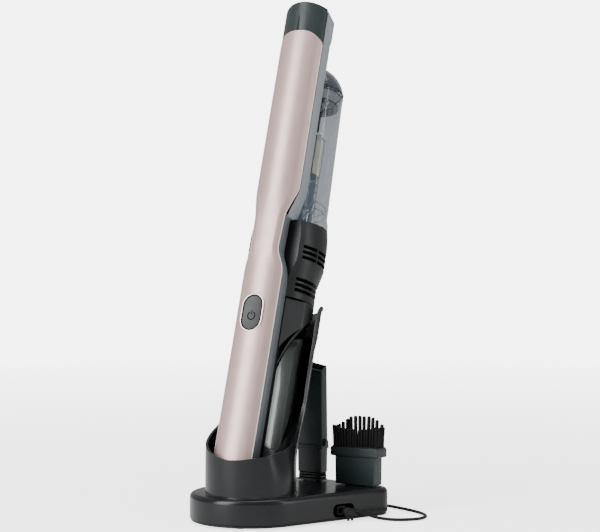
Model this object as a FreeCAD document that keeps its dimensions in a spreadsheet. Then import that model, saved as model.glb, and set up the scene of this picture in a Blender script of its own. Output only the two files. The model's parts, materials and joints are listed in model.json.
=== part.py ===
import FreeCAD, Part
import math
import os

import Sketcher

# Slim handheld vacuum leaning in its charging dock, with a crevice tool, a brush
# tool and a wall charger.  All lengths are in millimetres.
#
# Row frame: Z up, X along the dock's long side, the floor at Z = 0.
# Vacuum frame: z runs up the motor axis, -x is the rose front cover, y is the width.

V = FreeCAD.Vector
ROT0 = FreeCAD.Rotation()
doc = FreeCAD.newDocument("vacuum_set")

SIZES = {
    "dock_height": 27.0,
    "dock_half_width": 57.2,
    "dock_wall": 2.4,
    "lobe_x": -30.8,
    "dock_right": 94.6,
    "lean_deg": 18.0,
    "heading_deg": 25.0,
    "cover_half_width": 22.2,
    "cover_crown": 12.0,
    "cover_wall": 2.2,
    "grip_half_width": 20.6,
    "waist_half_width": 16.3,
    "cover_bottom": 8.0,
    "cover_top": 447.0,
    "nozzle_tip": 484.0,
    "bin_radius_low": 33.0,
    "bin_radius_high": 30.4,
    "bin_bottom": 264.0,
    "lid_seam": 404.0,
    "motor_radius": 37.4,
    "collar_radius": 41.5,
    "collar_height": 33.0,
    "button_length": 34.0,
    "button_width": 20.5,
    "button_z": 165.5,
    "cord_diameter": 3.0,
}
sheet = doc.addObject("Spreadsheet::Sheet", "Sizes")
for row, (alias, value) in enumerate(SIZES.items(), start=1):
    sheet.set("A%d" % row, alias)
    sheet.set("B%d" % row, str(value))
    sheet.setAlias("B%d" % row, alias)
doc.recompute()
S = SIZES

HEADING = FreeCAD.Rotation(V(0, 0, 1), S["heading_deg"])
LEAN = FreeCAD.Rotation(V(0, 1, 0), S["lean_deg"])
VAC = FreeCAD.Placement(V(-33.0, 2.7, 19.0), HEADING.multiply(LEAN))
WORLD = FreeCAD.Placement()
TOOL_TURN = FreeCAD.Rotation(V(0, 0, 1), 20.0)
COLLAR = V(-37.3, -7.3, 0)

nodes = []


def new_body(label, placement=WORLD):
    body = doc.addObject("PartDesign::Body", label)
    body.Label = label
    body.Placement = placement
    nodes.append(body)
    return body


def sketch(body, plane, shift=0.0, offset=None):
    """An empty sketch on one of the body's own origin planes, moved along its normal.

    The shift is a number, or an expression in the spreadsheet's cells.
    """
    sk = body.newObject("Sketcher::SketchObject", "Sketch")
    planes = [f for f in body.Origin.OriginFeatures if f.Role == plane + "_Plane"]
    sk.AttachmentSupport = [(planes[0], "")]
    sk.MapMode = "FlatFace"
    if isinstance(shift, str):
        sk.setExpression("AttachmentOffset.Base.z", shift)
    else:
        sk.AttachmentOffset = offset or FreeCAD.Placement(V(0, 0, shift), ROT0)
    return sk


def polygon(sk, points):
    for a, b in zip(points, points[1:] + points[:1]):
        sk.addGeometry(Part.LineSegment(V(a[0], a[1], 0), V(b[0], b[1], 0)), False)


def box_outline(sk, x0, y0, x1, y1):
    polygon(sk, [(x0, y0), (x1, y0), (x1, y1), (x0, y1)])


def circle(sk, x, y, r, bound=None):
    """A circle whose radius may be bound to an expression in the spreadsheet's cells."""
    index = sk.addGeometry(Part.Circle(V(x, y, 0), V(0, 0, 1), r), False)
    if bound:
        rule = sk.addConstraint(Sketcher.Constraint("Radius", index, r))
        sk.setExpression("Constraints[%d]" % rule, bound)


def arc3(sk, a, m, b):
    sk.addGeometry(Part.Arc(V(a[0], a[1], 0), V(m[0], m[1], 0), V(b[0], b[1], 0)), False)


def line(sk, a, b):
    sk.addGeometry(Part.LineSegment(V(a[0], a[1], 0), V(b[0], b[1], 0)), False)


def rounded(sk, x0, y0, x1, y1, r):
    k = corner_reach(r)
    line(sk, (x0 + r, y0), (x1 - r, y0))
    arc3(sk, (x1 - r, y0), (x1 - k, y0 + k), (x1, y0 + r))
    line(sk, (x1, y0 + r), (x1, y1 - r))
    arc3(sk, (x1, y1 - r), (x1 - k, y1 - k), (x1 - r, y1))
    line(sk, (x1 - r, y1), (x0 + r, y1))
    arc3(sk, (x0 + r, y1), (x0 + k, y1 - k), (x0, y1 - r))
    line(sk, (x0, y1 - r), (x0, y0 + r))
    arc3(sk, (x0, y0 + r), (x0 + k, y0 + k), (x0 + r, y0))


def capsule(sk, x, y, width, height):
    """A slot outline standing on end: straight sides, half-round top and bottom."""
    r = width / 2.0
    h = height / 2.0 - r
    line(sk, (x + r, y - h), (x + r, y + h))
    arc3(sk, (x + r, y + h), (x, y + h + r), (x - r, y + h))
    line(sk, (x - r, y + h), (x - r, y - h))
    arc3(sk, (x - r, y - h), (x, y - h - r), (x + r, y - h))


def checked(body, feature):
    doc.recompute()
    if not feature.isValid() or feature.Shape.isNull() or feature.Shape.Volume <= 0:
        raise RuntimeError("%s: %s failed" % (body.Label, feature.Name))


def solid_step(body, kind, sk, **values):
    old = body.Shape.Volume if body.Tip is not None else 0.0
    feature = body.newObject("PartDesign::" + kind, kind)
    feature.Profile = sk
    for name, value in values.items():
        if isinstance(value, str) and name in ("Length", "Length2"):
            feature.setExpression(name, value)
        else:
            setattr(feature, name, value)
    sk.Visibility = False
    checked(body, feature)
    new = feature.Shape.Volume
    if kind in ("Pocket", "Groove") and not new < old - 1e-3:
        raise RuntimeError("%s: a cut removed nothing" % body.Label)
    if kind in ("Pad", "Revolution", "AdditiveLoft") and not new > old + 1e-3:
        raise RuntimeError("%s: a pad added nothing" % body.Label)
    return feature


def pad(body, sk, length, **more):
    return solid_step(body, "Pad", sk, Length=length, **more)


def pocket(body, sk, length, **more):
    return solid_step(body, "Pocket", sk, Length=length, **more)


def through(body, sk):
    return solid_step(body, "Pocket", sk, Type=1, Midplane=True)


def spin(body, sk, kind="Revolution", axis="V_Axis", angle=360.0):
    return solid_step(body, kind, sk, ReferenceAxis=(sk, [axis]), Angle=angle)


def pattern(body, feature, kind, **values):
    step = body.newObject("PartDesign::" + kind, kind)
    step.Originals = [feature]
    for name, value in values.items():
        setattr(step, name, value)
    body.Tip = step
    doc.recompute()
    if not step.isValid():
        raise RuntimeError("%s: pattern failed" % body.Label)
    return step


def z_axis(body):
    axes = [f for f in body.Origin.OriginFeatures if f.Role == "Z_Axis"]
    return (axes[0], [""])


def edge_fillet(body, radius, wanted):
    """Round the edges of the tip whose midpoint passes the test."""
    tip = body.Tip
    names = []
    for index, edge in enumerate(tip.Shape.Edges, start=1):
        middle = edge.valueAt((edge.FirstParameter + edge.LastParameter) / 2.0)
        if wanted(middle, edge):
            names.append("Edge%d" % index)
    if not names:
        raise RuntimeError("%s: no edge to round" % body.Label)
    step = body.newObject("PartDesign::Fillet", "Fillet")
    step.Base = (tip, names)
    step.Radius = radius
    checked(body, step)
    return step


def corner_reach(radius):
    """How far a rounded corner's middle stands in from each of its two sides."""
    return radius * (1 - math.sqrt(0.5))


# ---------------------------------------------------------------- the vacuum's spine

EDGE_X = -36.0
PORT_Z = 375.5
CROWN_X = EDGE_X - S["cover_crown"]
ARCH_R = (S["cover_half_width"] ** 2 + S["cover_crown"] ** 2) / (2 * S["cover_crown"])
ARCH_C = CROWN_X + ARCH_R


def arch_y(x, radius):
    return math.sqrt(radius ** 2 - (x - ARCH_C) ** 2)


def arch_x(y, radius=ARCH_R):
    return ARCH_C - math.sqrt(radius ** 2 - y ** 2)


cover = new_body("spine_cover", VAC)
sk = sketch(cover, "XY", "Sizes.cover_bottom")
inner_r = ARCH_R - S["cover_wall"]
outer_end = (EDGE_X, S["cover_half_width"])
inner_end = (EDGE_X, arch_y(EDGE_X, inner_r))
arc3(sk, (EDGE_X, -outer_end[1]), (CROWN_X, 0), outer_end)
line(sk, outer_end, inner_end)
arc3(sk, inner_end, (CROWN_X + S["cover_wall"], 0), (EDGE_X, -inner_end[1]))
line(sk, (EDGE_X, -inner_end[1]), (EDGE_X, -outer_end[1]))
pad(cover, sk, "Sizes.cover_top - Sizes.cover_bottom")
for side in (-1, 1):
    sk = sketch(cover, "YZ")
    grip_edge = side * S["grip_half_width"]
    waist_edge = side * S["waist_half_width"]
    top_edge = side * S["cover_half_width"]
    outline = [
        (grip_edge - side * 0.6, 7.0), (grip_edge, 40.0), (grip_edge, 208.0),
        (grip_edge - side * 0.8, 214.0), (waist_edge + side * 0.6, 226.0), (waist_edge, 231.0),
        (waist_edge, 260.0), (waist_edge + side * 0.7, 266.0), (top_edge - side * 1.2, 283.0),
        (top_edge, 290.0), (side * 30.0, 290.0), (side * 30.0, 7.0),
    ]
    polygon(sk, outline)
    through(cover, sk)
sk = sketch(cover, "YZ", -50.0)
capsule(sk, 0, S["button_z"], S["button_width"] + 2.4, S["button_length"] + 2.4)
pocket(cover, sk, 20.0, Reversed=True)


def spine_section(sk, half, front, rear, corner, wall):
    """Closed U: straight front edges, two sides and a rounded rear wall."""
    k = corner_reach(corner)
    line(sk, (front, -half), (rear - corner, -half))
    arc3(sk, (rear - corner, -half), (rear - k, -half + k), (rear, -half + corner))
    line(sk, (rear, -half + corner), (rear, half - corner))
    arc3(sk, (rear, half - corner), (rear - k, half - k), (rear - corner, half))
    line(sk, (rear - corner, half), (front, half))
    line(sk, (front, half), (front, half - wall))
    line(sk, (front, half - wall), (rear - wall, half - wall))
    line(sk, (rear - wall, half - wall), (rear - wall, -half + wall))
    line(sk, (rear - wall, -half + wall), (front, -half + wall))
    line(sk, (front, -half + wall), (front, -half))


def arched_outline(sk, half, rear, corner):
    """Closed outline: crowned front, straight sides and rounded rear corners."""
    k = corner_reach(corner)
    front = arch_x(half)
    arc3(sk, (front, -half), (CROWN_X, 0), (front, half))
    line(sk, (front, half), (rear - corner, half))
    arc3(sk, (rear - corner, half), (rear - k, half - k), (rear, half - corner))
    line(sk, (rear, half - corner), (rear, -half + corner))
    arc3(sk, (rear, -half + corner), (rear - k, -half + k), (rear - corner, -half))
    line(sk, (rear - corner, -half), (front, -half))


duct = new_body("duct_body", VAC)
DUCT_LOW = 263.7
sk = sketch(duct, "XY", DUCT_LOW)
spine_section(sk, 22.2, EDGE_X + 0.05, -18.6, 4.0, 2.4)
pad(duct, sk, "Sizes.cover_top - 263.8")
for side in (-1, 1):
    sk = sketch(duct, "YZ")
    polygon(sk, [(side * 17.0, 262.0), (side * 17.6, 266.0), (side * 21.2, 283.0),
                 (side * 22.4, 290.0), (side * 30.0, 290.0), (side * 30.0, 262.0)])
    through(duct, sk)
sk = sketch(duct, "XY", DUCT_LOW)
box_outline(sk, EDGE_X + 1.0, -16.0, -19.0, 16.0)
pad(duct, sk, 3.0)
sk = sketch(duct, "XY", 290.0)
box_outline(sk, EDGE_X + 0.05, -20.5, -19.0, 20.5)
pad(duct, sk, 2.4)
sk = sketch(duct, "YZ", -30.0)
rounded(sk, -11.0, PORT_Z - 12.0, 11.0, PORT_Z + 12.0, 4.0)
pocket(duct, sk, 30.0, Reversed=True)

nozzle = new_body("nozzle_cap", VAC)
sk = sketch(nozzle, "XY", "Sizes.cover_top + 0.2")
arched_outline(sk, S["cover_half_width"], -16.8, 5.0)
pad(nozzle, sk, 40.0)
sk = sketch(nozzle, "XY", "Sizes.cover_top + 0.2")
arc3(sk, (EDGE_X, -19.5), (CROWN_X + 2.4, 0), (EDGE_X, 19.5))
line(sk, (EDGE_X, 19.5), (-19.4, 19.5))
line(sk, (-19.4, 19.5), (-19.4, -19.5))
line(sk, (-19.4, -19.5), (EDGE_X, -19.5))
pocket(nozzle, sk, 45.0, Reversed=True)
sk = sketch(nozzle, "XZ")
polygon(sk, [(-52.0, S["nozzle_tip"]), (-52.0, 500.0), (-10.0, 500.0), (-10.0, 468.4)])
through(nozzle, sk)

grip = new_body("grip_rear_shell", VAC)
GRIP_FRONT = -35.95
sk = sketch(grip, "XY", "Sizes.cover_bottom")
spine_section(sk, 20.2, GRIP_FRONT, -14.0, 7.5, 2.2)
pad(grip, sk, 179.6)
sk = sketch(grip, "XY", "Sizes.cover_bottom")
box_outline(sk, GRIP_FRONT, -18.4, -15.5, 18.4)
pad(grip, sk, 2.4)

link = new_body("waist_link", VAC)
sk = sketch(link, "XY", 188.0)
spine_section(sk, 16.0, -39.4, -26.4, 4.0, 2.4)
pad(link, sk, 75.4)

end_cap = new_body("grip_end_cap", VAC)
sk = sketch(end_cap, "XY", 5.0)
arched_outline(sk, 19.9, -14.0, 7.5)
pad(end_cap, sk, "Sizes.cover_bottom - 5.2")
PAD_X = -30.0
PAD_YS = (-8.0, 8.0)
sk = sketch(end_cap, "XY", 5.0)
for y in PAD_YS:
    circle(sk, PAD_X, y, 3.4)
pocket(end_cap, sk, 4.0, Reversed=True)
sk = sketch(end_cap, "XY", 7.0)
box_outline(sk, PAD_X - 1.8, -9.8, PAD_X + 1.8, 9.8)
pocket(end_cap, sk, 2.0, Reversed=True)

pads = new_body("charge_pads", VAC)
for y in PAD_YS:
    sk = sketch(pads, "XY", 5.6)
    circle(sk, PAD_X, y, 3.3)
    pad(pads, sk, 1.6)
sk = sketch(pads, "XY", 7.2)
box_outline(sk, PAD_X - 1.5, -9.5, PAD_X + 1.5, 9.5)
pad(pads, sk, 0.6)

CELL_X, CELL_RADIUS, CELL_LENGTH = -27.0, 9.2, 64.0
for name, z0 in (("battery_cell_low", 12.0), ("battery_cell_high", 79.0)):
    cell = new_body(name, VAC)
    sk = sketch(cell, "XY", z0)
    circle(sk, CELL_X, 0.0, CELL_RADIUS)
    pad(cell, sk, CELL_LENGTH)
    sk = sketch(cell, "XY", z0 + CELL_LENGTH)
    circle(sk, CELL_X, 0.0, 2.8)
    pad(cell, sk, 1.2)

strips = new_body("battery_strip", VAC)
sk = sketch(strips, "XY", 77.6)
box_outline(sk, -31.0, -4.0, -23.0, 4.0)
pad(strips, sk, 1.0)

board = new_body("control_board", VAC)
sk = sketch(board, "YZ", -34.0)
box_outline(sk, -14.0, 146.5, 14.0, 184.0)
pad(board, sk, 1.6)
switch = new_body("power_switch", VAC)
sk = sketch(switch, "YZ", -38.6)
box_outline(sk, -3.5, S["button_z"] - 3.5, 3.5, S["button_z"] + 3.5)
pad(switch, sk, 4.5)

bezel = new_body("button_bezel", VAC)
sk = sketch(bezel, "YZ", -47.0)
capsule(sk, 0, S["button_z"], S["button_width"] + 2.2, S["button_length"] + 2.2)
capsule(sk, 0, S["button_z"], S["button_width"] + 0.2, S["button_length"] + 0.2)
pad(bezel, sk, 4.6)
button = new_body("power_button", VAC)
sk = sketch(button, "YZ", -47.6)
capsule(sk, 0, S["button_z"], S["button_width"] - 0.6, S["button_length"] - 0.6)
pad(button, sk, 5.4)
edge_fillet(button, 0.9, lambda p, e: abs(p.x + 47.6) < 1e-4)
sk = sketch(button, "YZ", -42.3)
circle(sk, 0, S["button_z"], 2.0)
pad(button, sk, 1.9)

# ------------------------------------------------------------- motor housing and neck

housing = new_body("motor_housing", VAC)
R = S["motor_radius"]
profile = [(0, 188.2), (33.2, 188.2), (32.8, 200.0), (36.6, 215.0), (R, 223.0), (R - 0.4, 248.0),
           (36.2, 258.0), (35.4, 263.4), (0, 263.4)]
sk = sketch(housing, "XZ")
polygon(sk, profile)
spin(housing, sk)
inner = [(0, 190.6), (30.6, 190.6), (30.4, 201.0), (34.2, 216.0), (R - 2.4, 224.0),
         (R - 2.8, 247.0), (33.4, 260.0), (33.0, 264.0), (0, 264.0)]
sk = sketch(housing, "XZ")
polygon(sk, inner)
spin(housing, sk, "Groove")
sk = sketch(housing, "XY", 180.0)
box_outline(sk, -60.0, -50.0, -26.2, 50.0)
pocket(housing, sk, 100.0, Reversed=True)
sk = sketch(housing, "YZ", -26.2)
polygon(sk, [(-19.8, 188.2), (19.8, 188.2), (19.4, 200.0), (25.2, 215.0), (26.2, 223.0),
             (25.8, 248.0), (23.2, 263.4), (-23.2, 263.4), (-25.8, 248.0), (-26.2, 223.0),
             (-25.2, 215.0), (-19.4, 200.0)])
pad(housing, sk, 2.2)
VENT_HALF_WIDTH, VENT_CORNER, VENT_STEP = 7.8, 0.9, 30.0
for first, pitch, height in ((225.9, 5.2, 3.3), (194.6, 5.2, 3.3)):
    sk = sketch(housing, "YZ", 24.0)
    for row in range(3):
        z = first + pitch * row
        rounded(sk, -VENT_HALF_WIDTH, z, VENT_HALF_WIDTH, z + height, VENT_CORNER)
    slots = pocket(housing, sk, 30.0, Reversed=True)
    for sign in (-1, 1):
        pattern(housing, slots, "PolarPattern", Axis=z_axis(housing), Angle=4 * VENT_STEP,
                Occurrences=5, Reversed=sign < 0)

neck = new_body("neck_shell", VAC)
sk = sketch(neck, "XZ")
polygon(sk, [(0, 120.0), (32.4, 120.0), (33.2, 187.8), (0, 187.8)])
spin(neck, sk)
sk = sketch(neck, "XZ")
polygon(sk, [(0, 119.0), (30.0, 119.0), (30.8, 185.0), (0, 185.0)])
spin(neck, sk, "Groove")
sk = sketch(neck, "XY", 110.0)
box_outline(sk, -60.0, -50.0, -13.7, 50.0)
pocket(neck, sk, 100.0, Reversed=True)
sk = sketch(neck, "XZ")
arc3(sk, (-15.0, 121.0), (2.0, 155.0), (40.0, 171.5))
line(sk, (40.0, 171.5), (40.0, 100.0))
line(sk, (40.0, 100.0), (-15.0, 100.0))
line(sk, (-15.0, 100.0), (-15.0, 121.0))
through(neck, sk)

floor = new_body("neck_floor", VAC)
sk = sketch(floor, "XZ", -24.0)
arc3(sk, (-13.6, 125.2), (2.4, 156.8), (31.0, 170.2))
line(sk, (31.0, 170.2), (31.0, 172.4))
arc3(sk, (31.0, 172.4), (1.2, 159.0), (-13.6, 130.0))
line(sk, (-13.6, 130.0), (-13.6, 125.2))
pad(floor, sk, 48.0)
sk = sketch(floor, "XY", 100.0)
circle(sk, 0, 0, 60.0)
circle(sk, 0, 0, 29.6)
pocket(floor, sk, 100.0, Reversed=True)

motor = new_body("motor", VAC)
sk = sketch(motor, "XZ")
polygon(sk, [(0, 196.0), (5.0, 196.0), (5.0, 198.0), (13.8, 198.0), (13.8, 240.0), (0, 240.0)])
spin(motor, sk)
mount = new_body("motor_mount", VAC)
sk = sketch(mount, "XY", 240.3)
circle(sk, 0, 0, 34.2)
circle(sk, 0, 0, 5.0)
pad(mount, sk, 2.4)
sk = sketch(mount, "XY", 230.0)
box_outline(sk, -60.0, -50.0, -23.8, 50.0)
pocket(mount, sk, 20.0, Reversed=True)
sk = sketch(mount, "XY", 226.0)
circle(sk, 0, 0, 17.0)
circle(sk, 0, 0, 14.0)
pad(mount, sk, 14.3)
fan = new_body("impeller", VAC)
sk = sketch(fan, "XZ")
polygon(sk, [(0, 241.0), (2.4, 241.0), (2.4, 243.6), (21.0, 243.6), (21.0, 245.0), (5.0, 246.0),
             (4.0, 254.0), (0, 254.0)])
spin(fan, sk)
sk = sketch(fan, "XY", 244.2)
polygon(sk, [(3.0, -0.6), (20.8, -2.2), (20.8, -0.8), (3.0, 0.8)])
blade = pad(fan, sk, 8.0)
pattern(fan, blade, "PolarPattern", Axis=z_axis(fan), Angle=360.0, Occurrences=9)
guard = new_body("fan_guard", VAC)
sk = sketch(guard, "XY", 257.5)
circle(sk, 0, 0, 32.6)
circle(sk, 0, 0, 15.0)
circle(sk, 0, 0, 9.0)
circle(sk, 0, 0, 4.0)
pad(guard, sk, 2.0)
sk = sketch(guard, "XY", 257.5)
box_outline(sk, 3.0, -1.2, 21.0, 1.2)
rib = pad(guard, sk, 2.0)
pattern(guard, rib, "PolarPattern", Axis=z_axis(guard), Angle=360.0, Occurrences=6)
sk = sketch(guard, "XY", 250.0)
box_outline(sk, -60.0, -50.0, -23.8, 50.0)
pocket(guard, sk, 20.0, Reversed=True)

release = new_body("bin_release", VAC)
sk = sketch(release, "YZ", 34.4)
rounded(sk, -6.0, 252.0, 6.0, 258.6, 2.4)
pad(release, sk, 3.6)
sk = sketch(housing, "YZ", 30.0)
rounded(sk, -6.4, 251.6, 6.4, 259.0, 2.6)
pocket(housing, sk, 12.0, Reversed=True)

# ------------------------------------------------------------------------- dust bin

FLAT = -18.1


def bin_cup(label, outer, hollow, z0, z1):
    body = new_body(label, VAC)
    sk = sketch(body, "XZ")
    polygon(sk, outer)
    spin(body, sk)
    sk = sketch(body, "XZ")
    polygon(sk, hollow)
    spin(body, sk, "Groove")
    sk = sketch(body, "XY", z0 - 20.0)
    box_outline(sk, -60.0, -50.0, FLAT, 50.0)
    pocket(body, sk, z1 - z0 + 60.0, Reversed=True)
    return body


low, high = S["bin_radius_low"], S["bin_radius_high"]
foot, seam = S["bin_bottom"], S["lid_seam"]
dust_bin = bin_cup(
    "dust_bin",
    [(0, foot), (low + 2.0, foot), (low + 1.4, foot + 7.0), (low, foot + 12.0),
     (high, seam - 0.6), (0, seam - 0.6)],
    [(0, foot - 1.0), (low - 0.4, foot - 1.0), (low - 0.8, foot + 7.0),
     (low - 2.0, foot + 13.0), (high - 1.8, seam + 1.0), (0, seam + 1.0)],
    foot, seam)
sk = sketch(dust_bin, "YZ", FLAT)
polygon(sk, [(-26.0, foot), (26.0, foot), (22.0, seam - 0.6), (-22.0, seam - 0.6)])
pad(dust_bin, sk, 1.8)
sk = sketch(dust_bin, "YZ", FLAT - 1.0)
rounded(sk, -9.5, PORT_Z - 11.0, 9.5, PORT_Z + 11.0, 4.0)
pocket(dust_bin, sk, 10.0, Reversed=True)

lid = new_body("bin_lid", VAC)
sk = sketch(lid, "XZ")
line(sk, (0, seam + 0.4), (high, seam + 0.4))
arc3(sk, (high, seam + 0.4), (22.6, seam + 18.6), (4.0, seam + 27.6))
line(sk, (4.0, seam + 27.6), (0, seam + 27.8))
line(sk, (0, seam + 27.8), (0, seam + 0.4))
spin(lid, sk)
sk = sketch(lid, "XZ")
line(sk, (0, seam + 0.2), (high - 1.8, seam + 0.2))
arc3(sk, (high - 1.8, seam + 0.2), (21.2, seam + 17.2), (4.0, seam + 25.8))
line(sk, (4.0, seam + 25.8), (0, seam + 25.8))
line(sk, (0, seam + 25.8), (0, seam + 0.2))
spin(lid, sk, "Groove")
sk = sketch(lid, "XY", seam - 10.0)
box_outline(sk, -60.0, -50.0, FLAT, 50.0)
pocket(lid, sk, 80.0, Reversed=True)
sk = sketch(lid, "YZ", FLAT)
polygon(sk, [(-24.2, seam + 0.4), (24.2, seam + 0.4), (17.0, seam + 14.0), (9.0, seam + 20.4),
             (-9.0, seam + 20.4), (-17.0, seam + 14.0)])
pad(lid, sk, 1.8)
sk = sketch(lid, "XZ", -5.0)
circle(sk, high + 1.9, seam + 1.4, 1.9)
pad(lid, sk, 10.0)
sk = sketch(lid, "XZ", -5.0)
box_outline(sk, high - 1.4, seam + 0.5, high + 1.6, seam + 2.6)
pad(lid, sk, 10.0)

hinge = new_body("lid_hinge", VAC)
for y in (-9.0, 5.6):
    sk = sketch(hinge, "XZ", -y - 3.4)
    circle(sk, high + 1.9, seam + 1.4, 1.8)
    pad(hinge, sk, 3.4)
    sk = sketch(hinge, "XZ", -y - 3.4)
    polygon(sk, [(high + 0.4, seam - 8.0), (high + 3.0, seam - 1.0), (high + 3.0, seam + 1.0),
                 (high + 0.6, seam + 1.0)])
    pad(hinge, sk, 3.4)
sk = sketch(hinge, "XZ", -9.0)
polygon(sk, [(high + 0.4, seam - 8.0), (high + 2.4, seam - 3.0), (high + 2.4, seam - 2.0),
             (high + 0.4, seam - 2.0)])
pad(hinge, sk, 18.0)

seal = new_body("lid_seal", VAC)
sk = sketch(seal, "XY", seam - 0.4)
circle(sk, 0, 0, 30.0)
circle(sk, 0, 0, 27.4)
pad(seal, sk, 0.8)
sk = sketch(seal, "XY", seam - 10.0)
box_outline(sk, -60.0, -50.0, -16.6, 50.0)
pocket(seal, sk, 30.0, Reversed=True)
sk = sketch(seal, "XY", seam - 0.4)
box_outline(sk, FLAT + 0.2, -23.2, -16.2, 23.2)
pad(seal, sk, 0.8)

inlet = new_body("inlet_elbow", VAC)
sk = sketch(inlet, "YZ", -18.0)
rounded(sk, -9.2, PORT_Z - 10.7, 9.2, PORT_Z + 10.7, 4.0)
pad(inlet, sk, 24.8)
sk = sketch(inlet, "YZ", -23.0)
rounded(sk, -7.6, PORT_Z - 9.0, 7.6, PORT_Z + 9.0, 3.0)
pocket(inlet, sk, 28.0, Reversed=True)
sk = sketch(inlet, "XZ", -9.0)
polygon(sk, [(-6.0, PORT_Z - 12.0), (8.0, PORT_Z - 12.0), (8.0, PORT_Z - 4.0)])
pocket(inlet, sk, 18.0, Reversed=True)

partition = new_body("bin_partition", VAC)
sk = sketch(partition, "XZ")
polygon(sk, [(12.0, 391.6), (28.0, 390.6), (28.0, 392.6), (13.6, 393.6), (11.0, 399.6),
             (9.4, 399.6)])
spin(partition, sk)
sk = sketch(partition, "XY", 380.0)
box_outline(sk, -60.0, -50.0, -16.2, 50.0)
pocket(partition, sk, 30.0, Reversed=True)

# the filter stands a little behind the motor axis, clear of the bin's flat front wall
FILTER_LOW, FILTER_HIGH, PLEAT_RADIUS, PLEAT_DEPTH = 319.0, 358.0, 16.4, 2.4
FILTER_X = 3.6
FILTER = VAC.multiply(FreeCAD.Placement(V(FILTER_X, 0, 0), ROT0))
frame = new_body("filter_frame", FILTER)
sk = sketch(frame, "XZ")
polygon(sk, [(15.2, 264.4), (24.0, 264.4), (24.0, 267.0), (19.0, 270.0), (17.6, FILTER_LOW),
             (15.8, FILTER_LOW), (15.8, 271.0), (15.2, 270.0)])
spin(frame, sk)
sk = sketch(frame, "XY", 260.0)
box_outline(sk, -60.0, -50.0, -15.6 - FILTER_X, 50.0)
pocket(frame, sk, 20.0, Reversed=True)
sk = sketch(frame, "XY", FILTER_HIGH)
circle(sk, 0, 0, 17.6)
pad(frame, sk, 2.0)
for angle in (0, 90, 180, 270):
    turned = FreeCAD.Rotation(V(0, 0, 1), angle)
    sk = sketch(frame, "XY", 0.0, FreeCAD.Placement(V(0, 0, FILTER_LOW - 1.0), turned))
    box_outline(sk, PLEAT_RADIUS + 0.1, -1.2, 17.5, 1.2)
    pad(frame, sk, FILTER_HIGH - FILTER_LOW + 1.5)
pleats = new_body("filter_pleats", FILTER)
sk = sketch(pleats, "XY", FILTER_LOW + 0.1)
PLEAT_EDGES = 60
points = []
for index in range(PLEAT_EDGES):
    radius = PLEAT_RADIUS if index % 2 else PLEAT_RADIUS - PLEAT_DEPTH
    angle = 2 * math.pi * index / PLEAT_EDGES
    points.append((radius * math.cos(angle), radius * math.sin(angle)))
polygon(sk, points)
circle(sk, 0, 0, 12.0)
pad(pleats, sk, FILTER_HIGH - FILTER_LOW - 0.2)

bin_gasket = new_body("bin_gasket", VAC)
sk = sketch(bin_gasket, "XY", 261.2)
circle(sk, 0, 0, 30.5)
circle(sk, 0, 0, 21.6)
pad(bin_gasket, sk, 2.2)
sk = sketch(bin_gasket, "XY", 255.0)
box_outline(sk, -60.0, -50.0, -18.2, 50.0)
pocket(bin_gasket, sk, 20.0, Reversed=True)

flap = new_body("inlet_flap", VAC)
sk = sketch(flap, "YZ", 7.1)
rounded(sk, -8.6, PORT_Z - 10.0, 8.6, PORT_Z + 12.4, 2.0)
pad(flap, sk, 1.0)
sk = sketch(flap, "XZ", -9.6)
circle(sk, 7.7, PORT_Z + 12.2, 0.9)
pad(flap, sk, 19.2)

SCREW_X = -14.8
SCREW_ZS = (30.0, 70.0, 110.0)
case_screws = new_body("case_screws", VAC)
for z in SCREW_ZS:
    sk = sketch(case_screws, "YZ", SCREW_X)
    circle(sk, 0.0, z, 2.6)
    pad(case_screws, sk, 0.6)
sk = sketch(grip, "YZ", SCREW_X)
for z in SCREW_ZS:
    circle(sk, 0.0, z, 2.9)
pocket(grip, sk, 6.0, Reversed=True)

# ------------------------------------------------------------------------------ dock

C = V(S["lobe_x"], 0, 0)
DW = S["dock_half_width"]
DR = S["dock_right"]
TILT = math.radians(12.4)


def dock_outline(sk, inset):
    """Round left end, straight long sides and a tilted right end with rounded corners."""
    r = DW - inset
    corner = 15.0 - inset
    ux, uy = -math.sin(TILT), math.cos(TILT)
    low = V(DR - inset / math.cos(TILT) - inset * math.tan(TILT), -r, 0)
    length = 2 * r / uy
    high = low + V(ux, uy, 0) * length
    t_low = corner / math.tan((math.pi / 2 - TILT) / 2)
    t_high = corner / math.tan((math.pi / 2 + TILT) / 2)
    a = low - V(t_low, 0, 0)
    b = low + V(ux, uy, 0) * t_low
    c = high - V(ux, uy, 0) * t_high
    d = high - V(t_high, 0, 0)
    low_mid = V(a.x, a.y + corner, 0)
    m1 = low - low_mid
    m1 = low_mid + m1 * (corner / m1.Length)
    high_mid = V(d.x, d.y - corner, 0)
    m2 = high - high_mid
    m2 = high_mid + m2 * (corner / m2.Length)
    line(sk, (C.x, -r), (a.x, a.y))
    arc3(sk, a, m1, b)
    line(sk, b, c)
    arc3(sk, c, m2, d)
    line(sk, (d.x, d.y), (C.x, r))
    arc3(sk, (C.x, r), (C.x - r, 0), (C.x, -r))


top_shell = new_body("dock_top_shell")
sk = sketch(top_shell, "XY", 4.0)
dock_outline(sk, 0.0)
pad(top_shell, sk, "Sizes.dock_height - 4")
edge_fillet(top_shell, 4.5, lambda p, e: abs(p.z - S["dock_height"]) < 1e-4)
sk = sketch(top_shell, "XY", 3.0)
dock_outline(sk, S["dock_wall"])
pocket(top_shell, sk, 21.2, Reversed=True)
# jack recess in the front wall
sk = sketch(top_shell, "XZ", 45.0)
rounded(sk, 20.5, 2.0, 43.0, 16.5, 3.0)
pocket(top_shell, sk, 20.0, Reversed=True)
# where the two tool posts stand
CREVICE = V(58.0, 26.0, 0)
BRUSH = V(73.2, -26.0, 0)

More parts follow.
